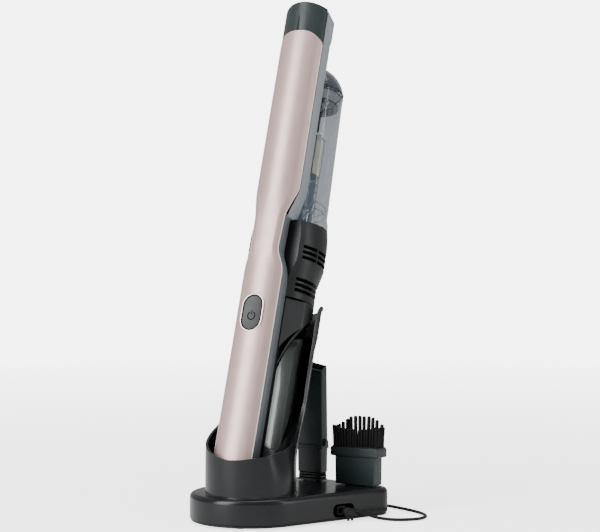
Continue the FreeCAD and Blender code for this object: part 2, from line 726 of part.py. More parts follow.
bottom = new_body("dock_bottom_plate")
sk = sketch(bottom, "XY", 1.6)
dock_outline(sk, 0.8)
pad(bottom, sk, 2.2)
feet = new_body("dock_feet")
for x, y in ((-62.0, -28.0), (-62.0, 28.0), (66.0, -40.0), (52.0, 40.0)):
    sk = sketch(feet, "XY", 0.0)
    circle(sk, x, y, 6.0)
    pad(feet, sk, 1.6)

board_dock = new_body("charge_board")
sk = sketch(board_dock, "XY", 10.0)
box_outline(sk, 12.0, -40.0, 52.0, -12.0)
pad(board_dock, sk, 1.6)
jack = new_body("dc_jack")
sk = sketch(jack, "XZ", 40.2)
box_outline(sk, 27.5, 6.0, 36.5, 14.0)
pad(jack, sk, 12.6)
sk = sketch(jack, "XZ", 54.0)
circle(sk, 32.0, 10.0, 2.8)
pocket(jack, sk, 11.0)
doc.recompute()

collar = new_body("dock_collar")
sk = sketch(collar, "XY", "Sizes.dock_height + 0.05")
circle(sk, COLLAR.x, COLLAR.y, S["collar_radius"], "Sizes.collar_radius")
circle(sk, COLLAR.x, COLLAR.y, S["collar_radius"] - 2.2, "Sizes.collar_radius - 2.2")
pad(collar, sk, "Sizes.collar_height + 19")
# the rim is low in front and sweeps up to the back
side_plane = FreeCAD.Placement(V(COLLAR.x, 0, COLLAR.y), FreeCAD.Rotation(V(0, 1, 0), 25.0))
sk = sketch(collar, "XZ", 0.0, side_plane)
rim = S["dock_height"] + S["collar_height"]
arc3(sk, (-60.0, rim + 3.0), (-14.0, rim + 2.0), (34.0, rim + 24.0))
line(sk, (34.0, rim + 24.0), (60.0, 120.0))
line(sk, (60.0, 120.0), (-60.0, 120.0))
line(sk, (-60.0, 120.0), (-60.0, rim + 3.0))
through(collar, sk)
# leaning back-rest: part of a tube about the vacuum's own axis
BACK_IN, BACK_OUT, SPREAD = 37.4, 39.8, math.radians(76.0)
sk = sketch(collar, "XY", 0.0, FreeCAD.Placement(VAC.Base + VAC.Rotation.multVec(V(0, 0, -4.0)),
                                                 VAC.Rotation))
ends = [(r * math.cos(a), r * math.sin(a)) for r in (BACK_IN, BACK_OUT) for a in (-SPREAD, SPREAD)]
arc3(sk, ends[0], (BACK_IN, 0), ends[1])
line(sk, ends[1], ends[3])
arc3(sk, ends[3], (BACK_OUT, 0), ends[2])
line(sk, ends[2], ends[0])
pad(collar, sk, 187.0)
sk = sketch(collar, "XY", "Sizes.dock_height + 0.05")
circle(sk, 0, 0, 150.0)
pocket(collar, sk, 60.0)

rib = new_body("backrest_rib", VAC)
sk = sketch(rib, "XZ", -11.5)
line(sk, (37.3, 36.0), (24.0, 50.0))
line(sk, (24.0, 50.0), (22.0, 60.0))
line(sk, (22.0, 60.0), (22.0, 148.0))
arc3(sk, (22.0, 148.0), (27.0, 158.5), (37.3, 164.0))
line(sk, (37.3, 164.0), (37.3, 36.0))
pad(rib, sk, 23.0)
sk = sketch(rib, "XY", 20.0)
circle(sk, 0, 0, 60.0)
circle(sk, 0, 0, 37.35)
pocket(rib, sk, 170.0, Reversed=True)

seat = new_body("charge_seat")
sk = sketch(seat, "XY", "Sizes.dock_height + 0.05")
circle(sk, COLLAR.x, COLLAR.y, S["collar_radius"] - 2.3, "Sizes.collar_radius - 2.3")
pad(seat, sk, 14.0)
tilted = FreeCAD.Placement(VAC.Base + VAC.Rotation.multVec(V(0, 0, 4.6)), VAC.Rotation)
sk = sketch(seat, "XY", 0.0, tilted)
circle(sk, 0, 0, 90.0)
pocket(seat, sk, 60.0, Reversed=True)
sk = sketch(seat, "XY", 0.0, tilted)
for y in PAD_YS:
    circle(sk, PAD_X, y, 2.2)
pocket(seat, sk, 4.4)

pins = new_body("charge_pins", VAC)
for y in PAD_YS:
    sk = sketch(pins, "XY", 2.4)
    circle(sk, PAD_X, y, 1.6)
    pad(pins, sk, 2.9)

# -------------------------------------------------------------------- tools on posts


def place(where, z=0.0):
    return FreeCAD.Placement(V(where.x, where.y, z), TOOL_TURN)


POST_HALF_DEPTH, POST_HEIGHT = 4.0, 22.0
for label, where, half in (("crevice_post", CREVICE, 9.6), ("brush_post", BRUSH, 14.0)):
    post = new_body(label, place(where))
    sk = sketch(post, "XY", "Sizes.dock_height + 0.05")
    rounded(sk, -POST_HALF_DEPTH, -half, POST_HALF_DEPTH, half, 3.0)
    pad(post, sk, POST_HEIGHT)

crevice = new_body("crevice_tool", place(CREVICE))
sk = sketch(crevice, "XY", 27.6)
rounded(sk, -7.0, -14.4, 7.0, 14.4, 4.0)
pad(crevice, sk, 8.4)
sk = sketch(crevice, "XY", 36.0)
rounded(sk, -6.4, -13.6, 6.4, 13.6, 4.0)
pad(crevice, sk, 22.5)
sk = sketch(crevice, "XY", 58.5)
rounded(sk, -8.4, -18.0, 8.4, 18.0, 4.0)
pad(crevice, sk, 3.2)


def loft(body, sections, kind="AdditiveLoft"):
    sketches = []
    for z, x0, y0, x1, y1, r in sections:
        sk = sketch(body, "XY", z)
        rounded(sk, x0, y0, x1, y1, r)
        sk.Visibility = False
        sketches.append(sk)
    step = body.newObject("PartDesign::" + kind, kind)
    step.Profile = sketches[0]
    step.Sections = sketches[1:]
    step.Ruled = True
    checked(body, step)
    return step


loft(crevice, [(61.7, -6.2, -13.8, 6.2, 13.8, 3.5), (143.0, -4.4, -12.8, 4.4, 12.8, 2.5)])
loft(crevice, [(62.5, -4.5, -12.0, 4.5, 12.0, 2.2), (144.0, -2.7, -11.0, 2.7, 11.0, 1.4)],
     "SubtractiveLoft")
sk = sketch(crevice, "XY", 27.0)
rounded(sk, -4.9, -11.8, 4.9, 11.8, 2.6)
pocket(crevice, sk, 36.5, Reversed=True)
sk = sketch(crevice, "XZ")
polygon(sk, [(-12.0, 131.0), (-12.0, 150.0), (12.0, 150.0), (12.0, 148.0)])
through(crevice, sk)
sk = sketch(crevice, "XZ", 16.5)
polygon(sk, [(-3.0, 61.5), (3.0, 61.5), (3.0, 66.5), (0.0, 68.0), (-3.0, 66.5)])
pad(crevice, sk, 2.0)

brush = new_body("brush_tool", place(BRUSH))
sk = sketch(brush, "XY", 27.6)
rounded(sk, -6.2, -21.4, 6.2, 21.4, 4.0)
pad(brush, sk, 29.0)
sk = sketch(brush, "XY", 27.6)
rounded(sk, -6.8, -22.2, 6.8, 22.2, 4.0)
pad(brush, sk, 6.0)
sk = sketch(brush, "XY", 55.0)
rounded(sk, -9.6, -27.2, 9.6, 27.2, 5.0)
pad(brush, sk, 7.6)
sk = sketch(brush, "XY", 27.0)
rounded(sk, -4.9, -18.6, 4.9, 18.6, 2.6)
pocket(brush, sk, 45.0, Reversed=True)

bristles = new_body("brush_bristles", place(BRUSH))
sk = sketch(bristles, "XY", 62.7)
rounded(sk, -8.6, -25.4, 8.6, 25.4, 4.0)
rounded(sk, -4.4, -18.8, 4.4, 18.8, 2.6)
pad(bristles, sk, 1.4)
ring = []
for index in range(13):
    ring.append((-6.6, -21.6 + index * 3.6))
    ring.append((6.6, -21.6 + index * 3.6))
for x in (-3.4, 0.0, 3.4):
    ring.append((x, -23.0))
    ring.append((x, 23.0))
for x, y in ring:
    sk = sketch(bristles, "XY", 64.0)
    circle(sk, x, y, 1.25)
    rise = 28.0 - 8.0 * abs(y / 23.0) ** 3
    pad(bristles, sk, rise)

screws = new_body("dock_screws")
for x, y in ((-74.0, 0.0), (-20.0, 47.0), (28.0, -48.0), (76.0, 8.0)):
    sk = sketch(screws, "XY", 0.6)
    circle(sk, x, y, 3.0)
    pad(screws, sk, 1.0)

# ------------------------------------------------------------------------------ cord

D = S["cord_diameter"]
plug = new_body("dc_plug")
sk = sketch(plug, "XZ", 57.5)
circle(sk, 32.0, 10.0, 3.9)
pad(plug, sk, 7.0)
sk = sketch(plug, "XZ", 52.0)
circle(sk, 32.0, 10.0, 2.5)
pad(plug, sk, 6.0)
sk = sketch(plug, "YZ", 30.0)
circle(sk, -61.6, 10.0, 3.2)
pad(plug, sk, 8.0)
sk = sketch(plug, "YZ", 37.9)
circle(sk, -61.6, 10.0, 2.3)
pad(plug, sk, 4.1)

COIL_X, COIL_Y, COIL_RADIUS, COIL_HALF = 74.5, 81.0, 17.7, 6.3
ROUTE = [(42.0, -61.6, 10.0), (50.0, -62.6, 7.6), (58.0, -68.0, 3.4), (66.5, -78.0, 1.7),
         (77.0, -88.0, 1.7), (92.0, -92.5, 1.7), (106.0, -86.5, 1.7), (114.5, -72.0, 1.7),
         (118.0, -51.0, 1.7), (119.0, -26.0, 1.7), (117.0, 0.0, 1.7), (113.2, 25.0, 1.7),
         (108.6, 45.0, 1.7), (103.6, 61.5, 1.7), (98.2, 77.4, 1.7)]


def rounded_wire(points):
    """Straight runs joined by tangent arcs, and the smallest arc radius."""
    points = [V(*p) for p in points]
    start = points[0]
    edges = []
    radii = []
    for before, corner, after in zip(points, points[1:], points[2:]):
        a = before - corner
        b = after - corner
        short = min(a.Length, b.Length)
        a = a * (1.0 / a.Length)
        b = b * (1.0 / b.Length)
        half_turn = (math.pi - a.getAngle(b)) / 2.0
        reach = 0.45 * short
        radius = reach / math.tan(half_turn)
        p, q = corner + a * reach, corner + b * reach
        middle = a + b
        middle = middle * (1.0 / middle.Length)
        centre = corner + middle * (radius / math.cos(half_turn))
        tip = centre - middle * radius
        edges.append(Part.LineSegment(start, p).toShape())
        edges.append(Part.Arc(p, tip, q).toShape())
        start = q
        radii.append(radius)
    edges.append(Part.LineSegment(start, points[-1]).toShape())
    return Part.Wire(edges), radii


wire, radii = rounded_wire(ROUTE)
print("cord radii", [round(r, 1) for r in radii], "length", round(wire.Length, 1))
path = doc.addObject("Part::Feature", "cord_path")
path.Shape = wire
start_circle = doc.addObject("Part::Feature", "cord_section")
direction = V(*ROUTE[1]) - V(*ROUTE[0])
start_circle.Shape = Part.Wire([Part.makeCircle(D / 2.0, V(*ROUTE[0]), direction)])
cord = doc.addObject("Part::Sweep", "cord_tube")
cord.Sections = [start_circle]
cord.Spine = (path, ["Edge%d" % (n + 1) for n in range(len(wire.Edges))])
cord.Solid = True
cord.Frenet = False
cord.Label = "cord_tube"
doc.recompute()
nodes.append(cord)
expected = math.pi * D ** 2 / 4.0 * wire.Length
print("cord volume", round(cord.Shape.Volume, 1), "section times length", round(expected, 1))
if abs(cord.Shape.Volume - expected) > 0.02 * expected:
    raise RuntimeError("the cord's tube is pinched")

coil = new_body("cord_coil")
sk = sketch(coil, "YZ", COIL_X)
rounded(sk, COIL_Y - COIL_RADIUS - COIL_HALF, 0.05, COIL_Y - COIL_RADIUS + COIL_HALF, 12.4, 3.0)
sk.addGeometry(Part.LineSegment(V(COIL_Y, -5.0, 0), V(COIL_Y, 20.0, 0)), True)
spin(coil, sk, axis="Axis0")

ADAPTER_X0, ADAPTER_X1, ADAPTER_HEIGHT = 9.0, 47.0, 50.0
adapter = new_body("wall_adapter")
sk = sketch(adapter, "XY", 0.0)
rounded(sk, ADAPTER_X0, 86.0, ADAPTER_X1, 112.0, 5.0)
pad(adapter, sk, ADAPTER_HEIGHT)
edge_fillet(adapter, 2.0, lambda p, e: min(abs(p.z), abs(p.z - ADAPTER_HEIGHT)) < 1e-4)
blades = new_body("adapter_blades")
for x in (21.6, 32.9):
    sk = sketch(blades, "XY", ADAPTER_HEIGHT + 0.1)
    box_outline(sk, x, 96.0, x + 1.5, 102.3)
    pad(blades, sk, 17.0)
lead = new_body("adapter_relief")
sk = sketch(lead, "YZ", ADAPTER_X1 + 0.1)
circle(sk, COIL_Y + 19.25, 10.9, 2.6)
pad(lead, sk, 13.0)

# ---------------------------------------------------------------- check and write out

doc.recompute()
os.makedirs("parts", exist_ok=True)
for item in doc.Objects:
    if "Invalid" in item.State or "Error" in item.State:
        raise RuntimeError("%s is in state %s" % (item.Label, item.State))
for node in nodes:
    shape = node.Shape
    if shape.isNull() or not shape.isValid() or shape.Volume <= 0:
        raise RuntimeError("%s has a bad shape" % node.Label)

low = V(1e9, 1e9, 1e9)
high = V(-1e9, -1e9, -1e9)
CORD_NODES = ("cord_tube", "cord_coil", "wall_adapter", "adapter_blades", "adapter_relief", "dc_plug")
for node in nodes:
    if node.Label in CORD_NODES:
        continue
    box = node.Shape.optimalBoundingBox(True, False)
    low = V(min(low.x, box.XMin), min(low.y, box.YMin), min(low.z, box.ZMin))
    high = V(max(high.x, box.XMax), max(high.y, box.YMax), max(high.z, box.ZMax))
centre = V((low.x + high.x) / 2, (low.y + high.y) / 2, low.z)
print("box", low, high, "shift", centre)
for node in nodes:
    shape = node.Shape.copy()
    shape.translate(V(-centre.x, -centre.y, -centre.z))
    shape.exportStep(os.path.join("parts", node.Label + ".step"))
    print(node.Label, len(shape.Solids), round(shape.Volume / 1000.0, 2))
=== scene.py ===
import json
import math
import random

import bmesh
import bpy
from mathutils import Matrix, Vector


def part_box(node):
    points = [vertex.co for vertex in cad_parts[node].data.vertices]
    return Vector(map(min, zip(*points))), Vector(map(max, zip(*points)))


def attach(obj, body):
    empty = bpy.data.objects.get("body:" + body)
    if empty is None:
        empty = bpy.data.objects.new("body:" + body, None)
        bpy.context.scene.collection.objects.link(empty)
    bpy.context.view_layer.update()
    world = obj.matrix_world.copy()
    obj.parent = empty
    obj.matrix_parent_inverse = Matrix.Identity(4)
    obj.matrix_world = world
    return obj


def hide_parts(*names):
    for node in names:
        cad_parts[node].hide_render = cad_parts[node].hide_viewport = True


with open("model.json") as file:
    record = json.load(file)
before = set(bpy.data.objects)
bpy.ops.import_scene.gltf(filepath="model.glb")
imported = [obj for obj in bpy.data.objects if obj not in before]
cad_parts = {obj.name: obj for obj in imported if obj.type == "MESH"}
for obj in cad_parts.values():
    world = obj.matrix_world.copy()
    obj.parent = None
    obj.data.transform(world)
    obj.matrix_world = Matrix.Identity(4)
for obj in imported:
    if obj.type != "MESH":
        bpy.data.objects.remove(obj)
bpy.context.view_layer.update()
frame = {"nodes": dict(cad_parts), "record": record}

# Lengths are in millimetres in three frames, each with its own matrix to metres:
# DOCK stands on the floor, VAC runs up the motor axis with its cover at -x,
# and each tool has a frame at the middle of its post.
MM = 0.001
DOCK_LEFT, DOCK_FRONT = -88.0, -57.2
shell_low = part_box("dock_top_shell")[0]
ORIGIN = Vector((shell_low[0] - DOCK_LEFT * MM, shell_low[1] - DOCK_FRONT * MM, 0.0))
HEADING_DEG = 25.0
HEADING = math.radians(HEADING_DEG)
LEAN = math.radians(18.0)
AXIS_FOOT = Vector((-33.0, 2.7, 19.0))
DOCK = Matrix.Translation(ORIGIN) @ Matrix.Scale(MM, 4)
VAC = (DOCK @ Matrix.Translation(AXIS_FOOT) @ Matrix.Rotation(HEADING, 4, "Z")
       @ Matrix.Rotation(LEAN, 4, "Y"))
TOOL_TURN = math.radians(20.0)


def tool_frame(x, y):
    return DOCK @ Matrix.Translation((x, y, 0)) @ Matrix.Rotation(TOOL_TURN, 4, "Z")


CREVICE = tool_frame(58.0, 26.0)
BRUSH = tool_frame(73.2, -26.0)

EDGE_X = -36.0
CROWN_X = -48.0
COVER_HALF = 23.0
BAND_REAR = -18.6
ARCH_R = (COVER_HALF ** 2 + (EDGE_X - CROWN_X) ** 2) / (2 * (EDGE_X - CROWN_X))
ARCH_C = CROWN_X + ARCH_R


# ------------------------------------------------------------------------ materials


def set_inputs(node, **values):
    """Sets sockets by name, with an underscore for each space in the name."""
    for name, value in values.items():
        node.inputs[name.replace("_", " ")].default_value = value


def add_node(tree, kind, **values):
    node = tree.nodes.new("ShaderNode" + kind)
    set_inputs(node, **values)
    return node


def link(source, output, target, socket):
    """Joins two nodes of one tree; sockets are given by name or number."""
    source.id_data.links.new(source.outputs[output], target.inputs[socket])


def new_material(name):
    """A material and its shader node."""
    mat = bpy.data.materials.new(name)
    mat.use_nodes = True
    return mat, mat.node_tree.nodes["Principled BSDF"]


def add_bump(shader, scale, strength, distance, detail=3.0):
    """A fine grain in the surface; returns the coordinates node that it uses."""
    tree = shader.id_data
    coords = add_node(tree, "TexCoord")
    noise = add_node(tree, "TexNoise", Scale=scale, Detail=detail)
    bump = add_node(tree, "Bump", Strength=strength, Distance=distance)
    link(coords, "Object", noise, "Vector")
    link(noise, 0, bump, "Height")
    link(bump, "Normal", shader, "Normal")
    return coords


def vary(shader, socket, scale, low, high, coords):
    """A slow cloudy change of a colour or of roughness over the surface."""
    noise = add_node(shader.id_data, "TexNoise", Scale=scale, Detail=4.0)
    ramp = add_node(shader.id_data, "ValToRGB")
    if isinstance(low, float):
        low, high = (low, low, low), (high, high, high)
    for element, position, colour in zip(ramp.color_ramp.elements, (0.32, 0.68), (low, high)):
        element.position = position
        element.color = (*colour, 1.0)
    link(coords, "Object", noise, "Vector")
    link(noise, 0, ramp, "Fac")
    link(ramp, "Color", shader, socket)


def plastic(name, colour, rough, grain=900.0, depth=0.12, shade=0.12, coat=0.0, gloss=0.5):
    """Opaque moulded plastic; shade is how far its colour strays, gloss its mirror share."""
    mat, shader = new_material(name)
    darker = tuple(c * (1.0 - shade) for c in colour)
    lighter = tuple(min(1.0, c * (1.0 + shade)) for c in colour)
    coords = add_bump(shader, grain, depth, 0.00008)
    vary(shader, "Base Color", 24.0, darker, lighter, coords)
    vary(shader, "Roughness", 60.0, rough * 0.86, min(1.0, rough * 1.14), coords)
    set_inputs(shader, IOR=1.5, Specular_IOR_Level=gloss, Coat_Weight=coat, Coat_Roughness=0.08)
    return mat


def metal(name, colour, rough):
    mat, shader = new_material(name)
    set_inputs(shader, Metallic=1.0)
    coords = add_bump(shader, 1400.0, 0.05, 0.00005)
    vary(shader, "Base Color", 40.0, tuple(c * 0.95 for c in colour), colour, coords)
    vary(shader, "Roughness", 90.0, rough * 0.85, rough * 1.15, coords)
    return mat


def lacquer(name, colour, metallic, rough):
    """Satin metallic paint: part pigment, part fine flake."""
    mat, shader = new_material(name)
    set_inputs(shader, Metallic=metallic, IOR=1.45)
    coords = add_bump(shader, 2200.0, 0.05, 0.00005)
    vary(shader, "Base Color", 40.0, tuple(c * 0.96 for c in colour), colour, coords)
    vary(shader, "Roughness", 90.0, rough * 0.9, rough * 1.1, coords)
    return mat


def clear_plastic(name, colour, rough, ior=1.15):
    """Tinted clear plastic that bends light little, so that the filter shows through it."""
    mat, shader = new_material(name)
    set_inputs(shader, Base_Color=(*colour, 1.0), Transmission_Weight=1.0, IOR=ior, Coat_Weight=0.6,
               Coat_Roughness=0.04)
    coords = add_bump(shader, 60.0, 0.03, 0.0002, 2.0)
    vary(shader, "Roughness", 30.0, rough * 0.6, rough * 1.4, coords)
    return mat


MATERIALS = {
    "rose": lacquer("rose_gold_lacquer", (0.52, 0.37, 0.357), 0.55, 0.40),
    # lighter than the rose cover: a polished edge, with a painted highlight in its colour
    "rim": plastic("rim_painted_highlight", (0.66, 0.60, 0.59), 0.22, depth=0.03, shade=0.06, coat=0.3,
                   gloss=0.6),
    "slate": plastic("slate_satin", (0.016, 0.023, 0.024), 0.36, grain=1300.0, depth=0.10, shade=0.10,
                     gloss=0.35),
    "grey": plastic("band_silver_grey", (0.27, 0.295, 0.32), 0.34, grain=1300.0, depth=0.08, shade=0.06,
                    coat=0.1),
    "black": plastic("black_gloss", (0.003, 0.0032, 0.0035), 0.16, grain=500.0, depth=0.03, shade=0.15,
                     gloss=0.3),
    "black_satin": plastic("black_satin", (0.004, 0.0045, 0.005), 0.34, grain=1200.0, shade=0.15,
                           gloss=0.3),
    "charcoal": plastic("charcoal_satin", (0.009, 0.0105, 0.0113), 0.36, grain=1200.0, gloss=0.35),
    # near-black with no gloss: painted shade, for gaps, wells and hollows that are dark only from shade
    "dark": plastic("black_painted_shade", (0.001, 0.001, 0.001), 0.6, gloss=0.0),
    "dock": plastic("dock_gloss", (0.0042, 0.0050, 0.0060), 0.24, grain=500.0, depth=0.03, shade=0.08,
                    gloss=0.32),
    "grey_deep": plastic("trim_grey", (0.11, 0.125, 0.135), 0.34, grain=1300.0, depth=0.08, shade=0.06,
                         coat=0.1),
    "button": plastic("button_satin", (0.020, 0.021, 0.022), 0.38, grain=1200.0, depth=0.10, shade=0.1,
                      gloss=0.3),
    "clear": clear_plastic("bin_clear_tint", (0.80, 0.83, 0.87), 0.05),
    "clear_dark": clear_plastic("lid_clear_tint", (0.33, 0.36, 0.40), 0.05),
    "smoke": clear_plastic("smoke_tint", (0.46, 0.50, 0.54), 0.12, 1.03),
    "smoke_dark": clear_plastic("smoke_dark_tint", (0.12, 0.14, 0.16), 0.15, 1.03),
    "filter": plastic("filter_paper", (0.72, 0.69, 0.57), 0.9, grain=1800.0, depth=0.5, shade=0.1),
    "rubber": plastic("rubber_matt", (0.012, 0.012, 0.012), 0.72, grain=1600.0, depth=0.3),
    "steel": metal("screw_steel", (0.56, 0.56, 0.57), 0.3),
    "brass": metal("contact_brass", (0.83, 0.66, 0.36), 0.25),
    "cell": plastic("cell_sleeve", (0.03, 0.12, 0.35), 0.35),
    "board": plastic("circuit_board", (0.01, 0.10, 0.035), 0.4),
    "liner": plastic("rib_grey_gloss", (0.20, 0.225, 0.22), 0.22, grain=500.0, depth=0.03, shade=0.1,
                     coat=0.3),
    "bristle": plastic("bristle_nylon", (0.0015, 0.0015, 0.0015), 0.5, depth=0.1, shade=0.3, gloss=0.15),
    "cord": plastic("cord_sheath", (0.003, 0.003, 0.003), 0.5, grain=1500.0, depth=0.2, shade=0.15,
                    gloss=0.25),
    "bezel": metal("bezel_satin", (0.55, 0.50, 0.485), 0.3),
    "icon": plastic("icon_print", (0.0008, 0.0008, 0.0008), 0.7, depth=0.1, shade=0.1, gloss=0.0),
}

# CAD slots whose material goes by another name
SLOT_MATERIAL = {"metal": "steel", "contact": "brass"}
for part in frame["record"]["subparts"]:
    node = frame["nodes"][part["node"]]
    slot_name = part["material_slot"]
    wanted = MATERIALS[SLOT_MATERIAL.get(slot_name, slot_name)]
    if not node.material_slots:
        node.data.materials.append(wanted)
    for mat_slot in node.material_slots:
        mat_slot.material = wanted

# --------------------------------------------------------------------- mesh helpers


def in_scene(name, data):
    """A new object for data, linked into the scene."""
    obj = bpy.data.objects.new(name, data)
    bpy.context.scene.collection.objects.link(obj)
    return obj


def piece(name, bm, place, material, body, nodes=(), bevel=0.0, segments=2, smooth=38.0):
    """Puts a mesh made in millimetres into the scene and on its body."""
    bmesh.ops.remove_doubles(bm, verts=bm.verts, dist=1e-5)
    bmesh.ops.recalc_face_normals(bm, faces=bm.faces)
    bm.transform(place)
    mesh = bpy.data.meshes.new(name)
    bm.to_mesh(mesh)
    bm.free()
    for polygon in mesh.polygons:
        polygon.use_smooth = True
    mesh.set_sharp_from_angle(angle=math.radians(smooth))
    mesh.materials.append(MATERIALS[material])
    obj = in_scene(name, mesh)
    if bevel:
        step = obj.modifiers.new("edges", "BEVEL")
        step.width = bevel * MM
        step.segments = segments
        step.limit_method = "ANGLE"
        step.angle_limit = math.radians(32.0)
        step.harden_normals = True
    if nodes:
        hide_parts(*nodes)
    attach(obj, body)
    return obj


def cut(bm, cutters):
    """bm with the closed meshes in cutters taken away."""
    mesh = bpy.data.meshes.new("cut_base")
    bm.to_mesh(mesh)
    bm.free()
    base = in_scene("cut_base", mesh)
    temporary = [base]
    for cutter in cutters:
        tool_mesh = bpy.data.meshes.new("cut_tool")
        bmesh.ops.recalc_face_normals(cutter, faces=cutter.faces)
        cutter.to_mesh(tool_mesh)
        cutter.free()
        tool = in_scene("cut_tool", tool_mesh)
        temporary.append(tool)
        step = base.modifiers.new("cut", "BOOLEAN")
        step.operation = "DIFFERENCE"
        step.solver = "EXACT"
        step.object = tool
    graph = bpy.context.evaluated_depsgraph_get()
    result = bmesh.new()
    result.from_object(base, graph)
    for obj in temporary:
        bpy.data.objects.remove(obj, do_unlink=True)
    return result


def bridge(bm, rings, closed=False, cap=True):
    """Quads between rings of equal length; flat caps at open ends."""
    loops = [[bm.verts.new(p) for p in ring] for ring in rings]
    pairs = list(zip(loops, loops[1:]))
    if closed:
        pairs.append((loops[-1], loops[0]))
    for low, high in pairs:
        for a in range(len(low)):
            b = (a + 1) % len(low)
            bm.faces.new((low[a], low[b], high[b], high[a]))
    if cap and not closed:
        bm.faces.new(loops[0])
        bm.faces.new(loops[-1])
    return loops


def loft(rings, closed=False):
    """A closed mesh through rings of equal length."""
    bm = bmesh.new()
    bridge(bm, rings, closed)
    bmesh.ops.recalc_face_normals(bm, faces=bm.faces)
    return bm


def level(outline, z):
    """A flat outline at height z."""
    return [(x, y, z) for x, y in outline]


def upright(outline, x, z_mid=0.0):
    """An outline given across and up, standing in the plane at x."""
    return [(x, a, z_mid + b) for a, b in outline]


def plate(outline, z_mid, x0, x1):
    """An upright outline drawn out from x0 to x1."""
    return loft([upright(outline, x, z_mid) for x in (x0, x1)])


def prism(outline, y0, y1):
    """An outline in the x-z plane drawn out along y."""
    return loft([[(x, y, z) for x, z in outline] for y in (y0, y1)])


def circle(cx, cy, radius, count):
    turns = [2 * math.pi * index / count for index in range(count)]
    return [(cx + radius * math.cos(turn), cy + radius * math.sin(turn)) for turn in turns]


def arc_points(cx, cy, radius, start, stop, count):
    """Points on an arc between two angles in degrees."""
    points = []
    for index in range(count):
        angle = math.radians(start + (stop - start) * index / (count - 1))
        points.append((cx + radius * math.cos(angle), cy + radius * math.sin(angle)))
    return points


def rounded_rect(x0, y0, x1, y1, radius, count=7):
    points = []
    for cx, cy, start in ((x1 - radius, y0 + radius, -90), (x1 - radius, y1 - radius, 0),
                          (x0 + radius, y1 - radius, 90), (x0 + radius, y0 + radius, 180)):
        points += arc_points(cx, cy, radius, start, start + 90, count)
    return points


def capsule_points(width, height):
    """A slot outline standing on end, centred on the origin."""
    radius = width / 2.0
    rise = height / 2.0 - radius
    return arc_points(0, rise, radius, 0, 180, 17) + arc_points(0, -rise, radius, 180, 360, 17)


def ease(t):
    """A smooth step from 0 to 1."""
    t = max(0.0, min(1.0, t))
    return t * t * (3.0 - 2.0 * t)


def along(table, z):
    """Smooth interpolation in a short table of (z, value)."""
    for (z0, v0), (z1, v1) in zip(table, table[1:]):
        if z <= z1:
            return v0 + (v1 - v0) * ease((z - z0) / (z1 - z0))
    return table[-1][1]


def table_at(table, z):
    """Straight-line interpolation in a short table of (z, value)."""
    for (z0, v0), (z1, v1) in zip(table, table[1:]):
        if z <= z1:
            return v0 + (v1 - v0) * (z - z0) / (z1 - z0)
    return table[-1][1]


def spread(start, stop, step):
    """Evenly spaced values from start to stop, about step apart."""
    count = max(1, int(round(abs(stop - start) / step)))
    return [start + (stop - start) * index / count for index in range(count + 1)]


def box_mesh(x0, y0, z0, x1, y1, z1, radius=1.0, count=4):
    outline = rounded_rect(x0, y0, x1, y1, radius, count)
    return loft([level(outline, z) for z in (z0, z1)])


def lathe(profile, count):
    """A turned solid about z from a closed (r, z) profile."""
    bm = bmesh.new()
    rings = []
    for index in range(count):
        angle = 2 * math.pi * index / count
        rings.append([(r * math.cos(angle), r * math.sin(angle), z) for r, z in profile])
    bridge(bm, rings, closed=True, cap=False)
    bmesh.ops.remove_doubles(bm, verts=bm.verts, dist=1e-4)
    bmesh.ops.recalc_face_normals(bm, faces=bm.faces)
    return bm


def d_ring(radius, flat, z, corner):
    """A circle cut off by the plane x = flat, with rounded corners."""
    reach = math.sqrt(radius ** 2 - flat ** 2)
    a = math.degrees(math.acos(flat / radius))
    trim = math.degrees(corner / radius)
    points = arc_points(0, 0, radius, -a + trim, a - trim, 72)
    y = reach - corner * 0.8
    points += [(flat, y - 0.2 * y * index) for index in range(11)]
    return level(points, z)


def d_band(radius, flat, widths, z0, z1, corner):
    """A flat band inside a D outline; widths are those of its round and straight parts."""
    inner = radius - widths[0], flat + widths[1]
    rings = [d_ring(*size, z, corner)
             for size, z in (((radius, flat), z0), ((radius, flat), z1), (inner, z1), (inner, z0))]
    return loft(rings, closed=True)


def u_ring(half, front, rear, radius, z):
    """A U open to the front, with rounded rear corners."""
    points = [(front, -half), (front + 1.0, -half)]
    points += arc_points(rear - radius, -half + radius, radius, -90, 0, 7)
    points += arc_points(rear - radius, half - radius, radius, 0, 90, 7)
    points += [(front + 1.0, half), (front, half)]
    return level(points, z)


def u_wall(outer, inner, levels):
    """A shell between two U outlines, each given as (half width, front, rear, corner)."""
    return loft([u_ring(*outer, z) + u_ring(*inner, z)[::-1] for z in levels])


def arch_x(y):
    """The x of the cover's arched front at y."""
    return ARCH_C - math.sqrt(ARCH_R ** 2 - y ** 2)


# --------------------------------------------------------------- the rose front cover

COVER_LOW, COVER_HIGH = 8.0, 447.0
HALF_WIDTH = [(8.0, 19.6), (30.0, 20.0), (208.0, 20.3), (214.0, 19.5), (225.0, 15.6), (230.0, 14.7),
              (262.0, 16.0), (266.0, 16.8), (283.0, 21.4), (290.0, COVER_HALF), (460.0, COVER_HALF)]
CREASE, CREASE_RISE, FACET_SWELL = 4.6, 0.9, 0.35
COVER_WALL = 2.0
ARCH_START, ARCH_LIFT, ARCH_DROP = 400.0, 4.2, 9.6
BUTTON_Z = 165.5


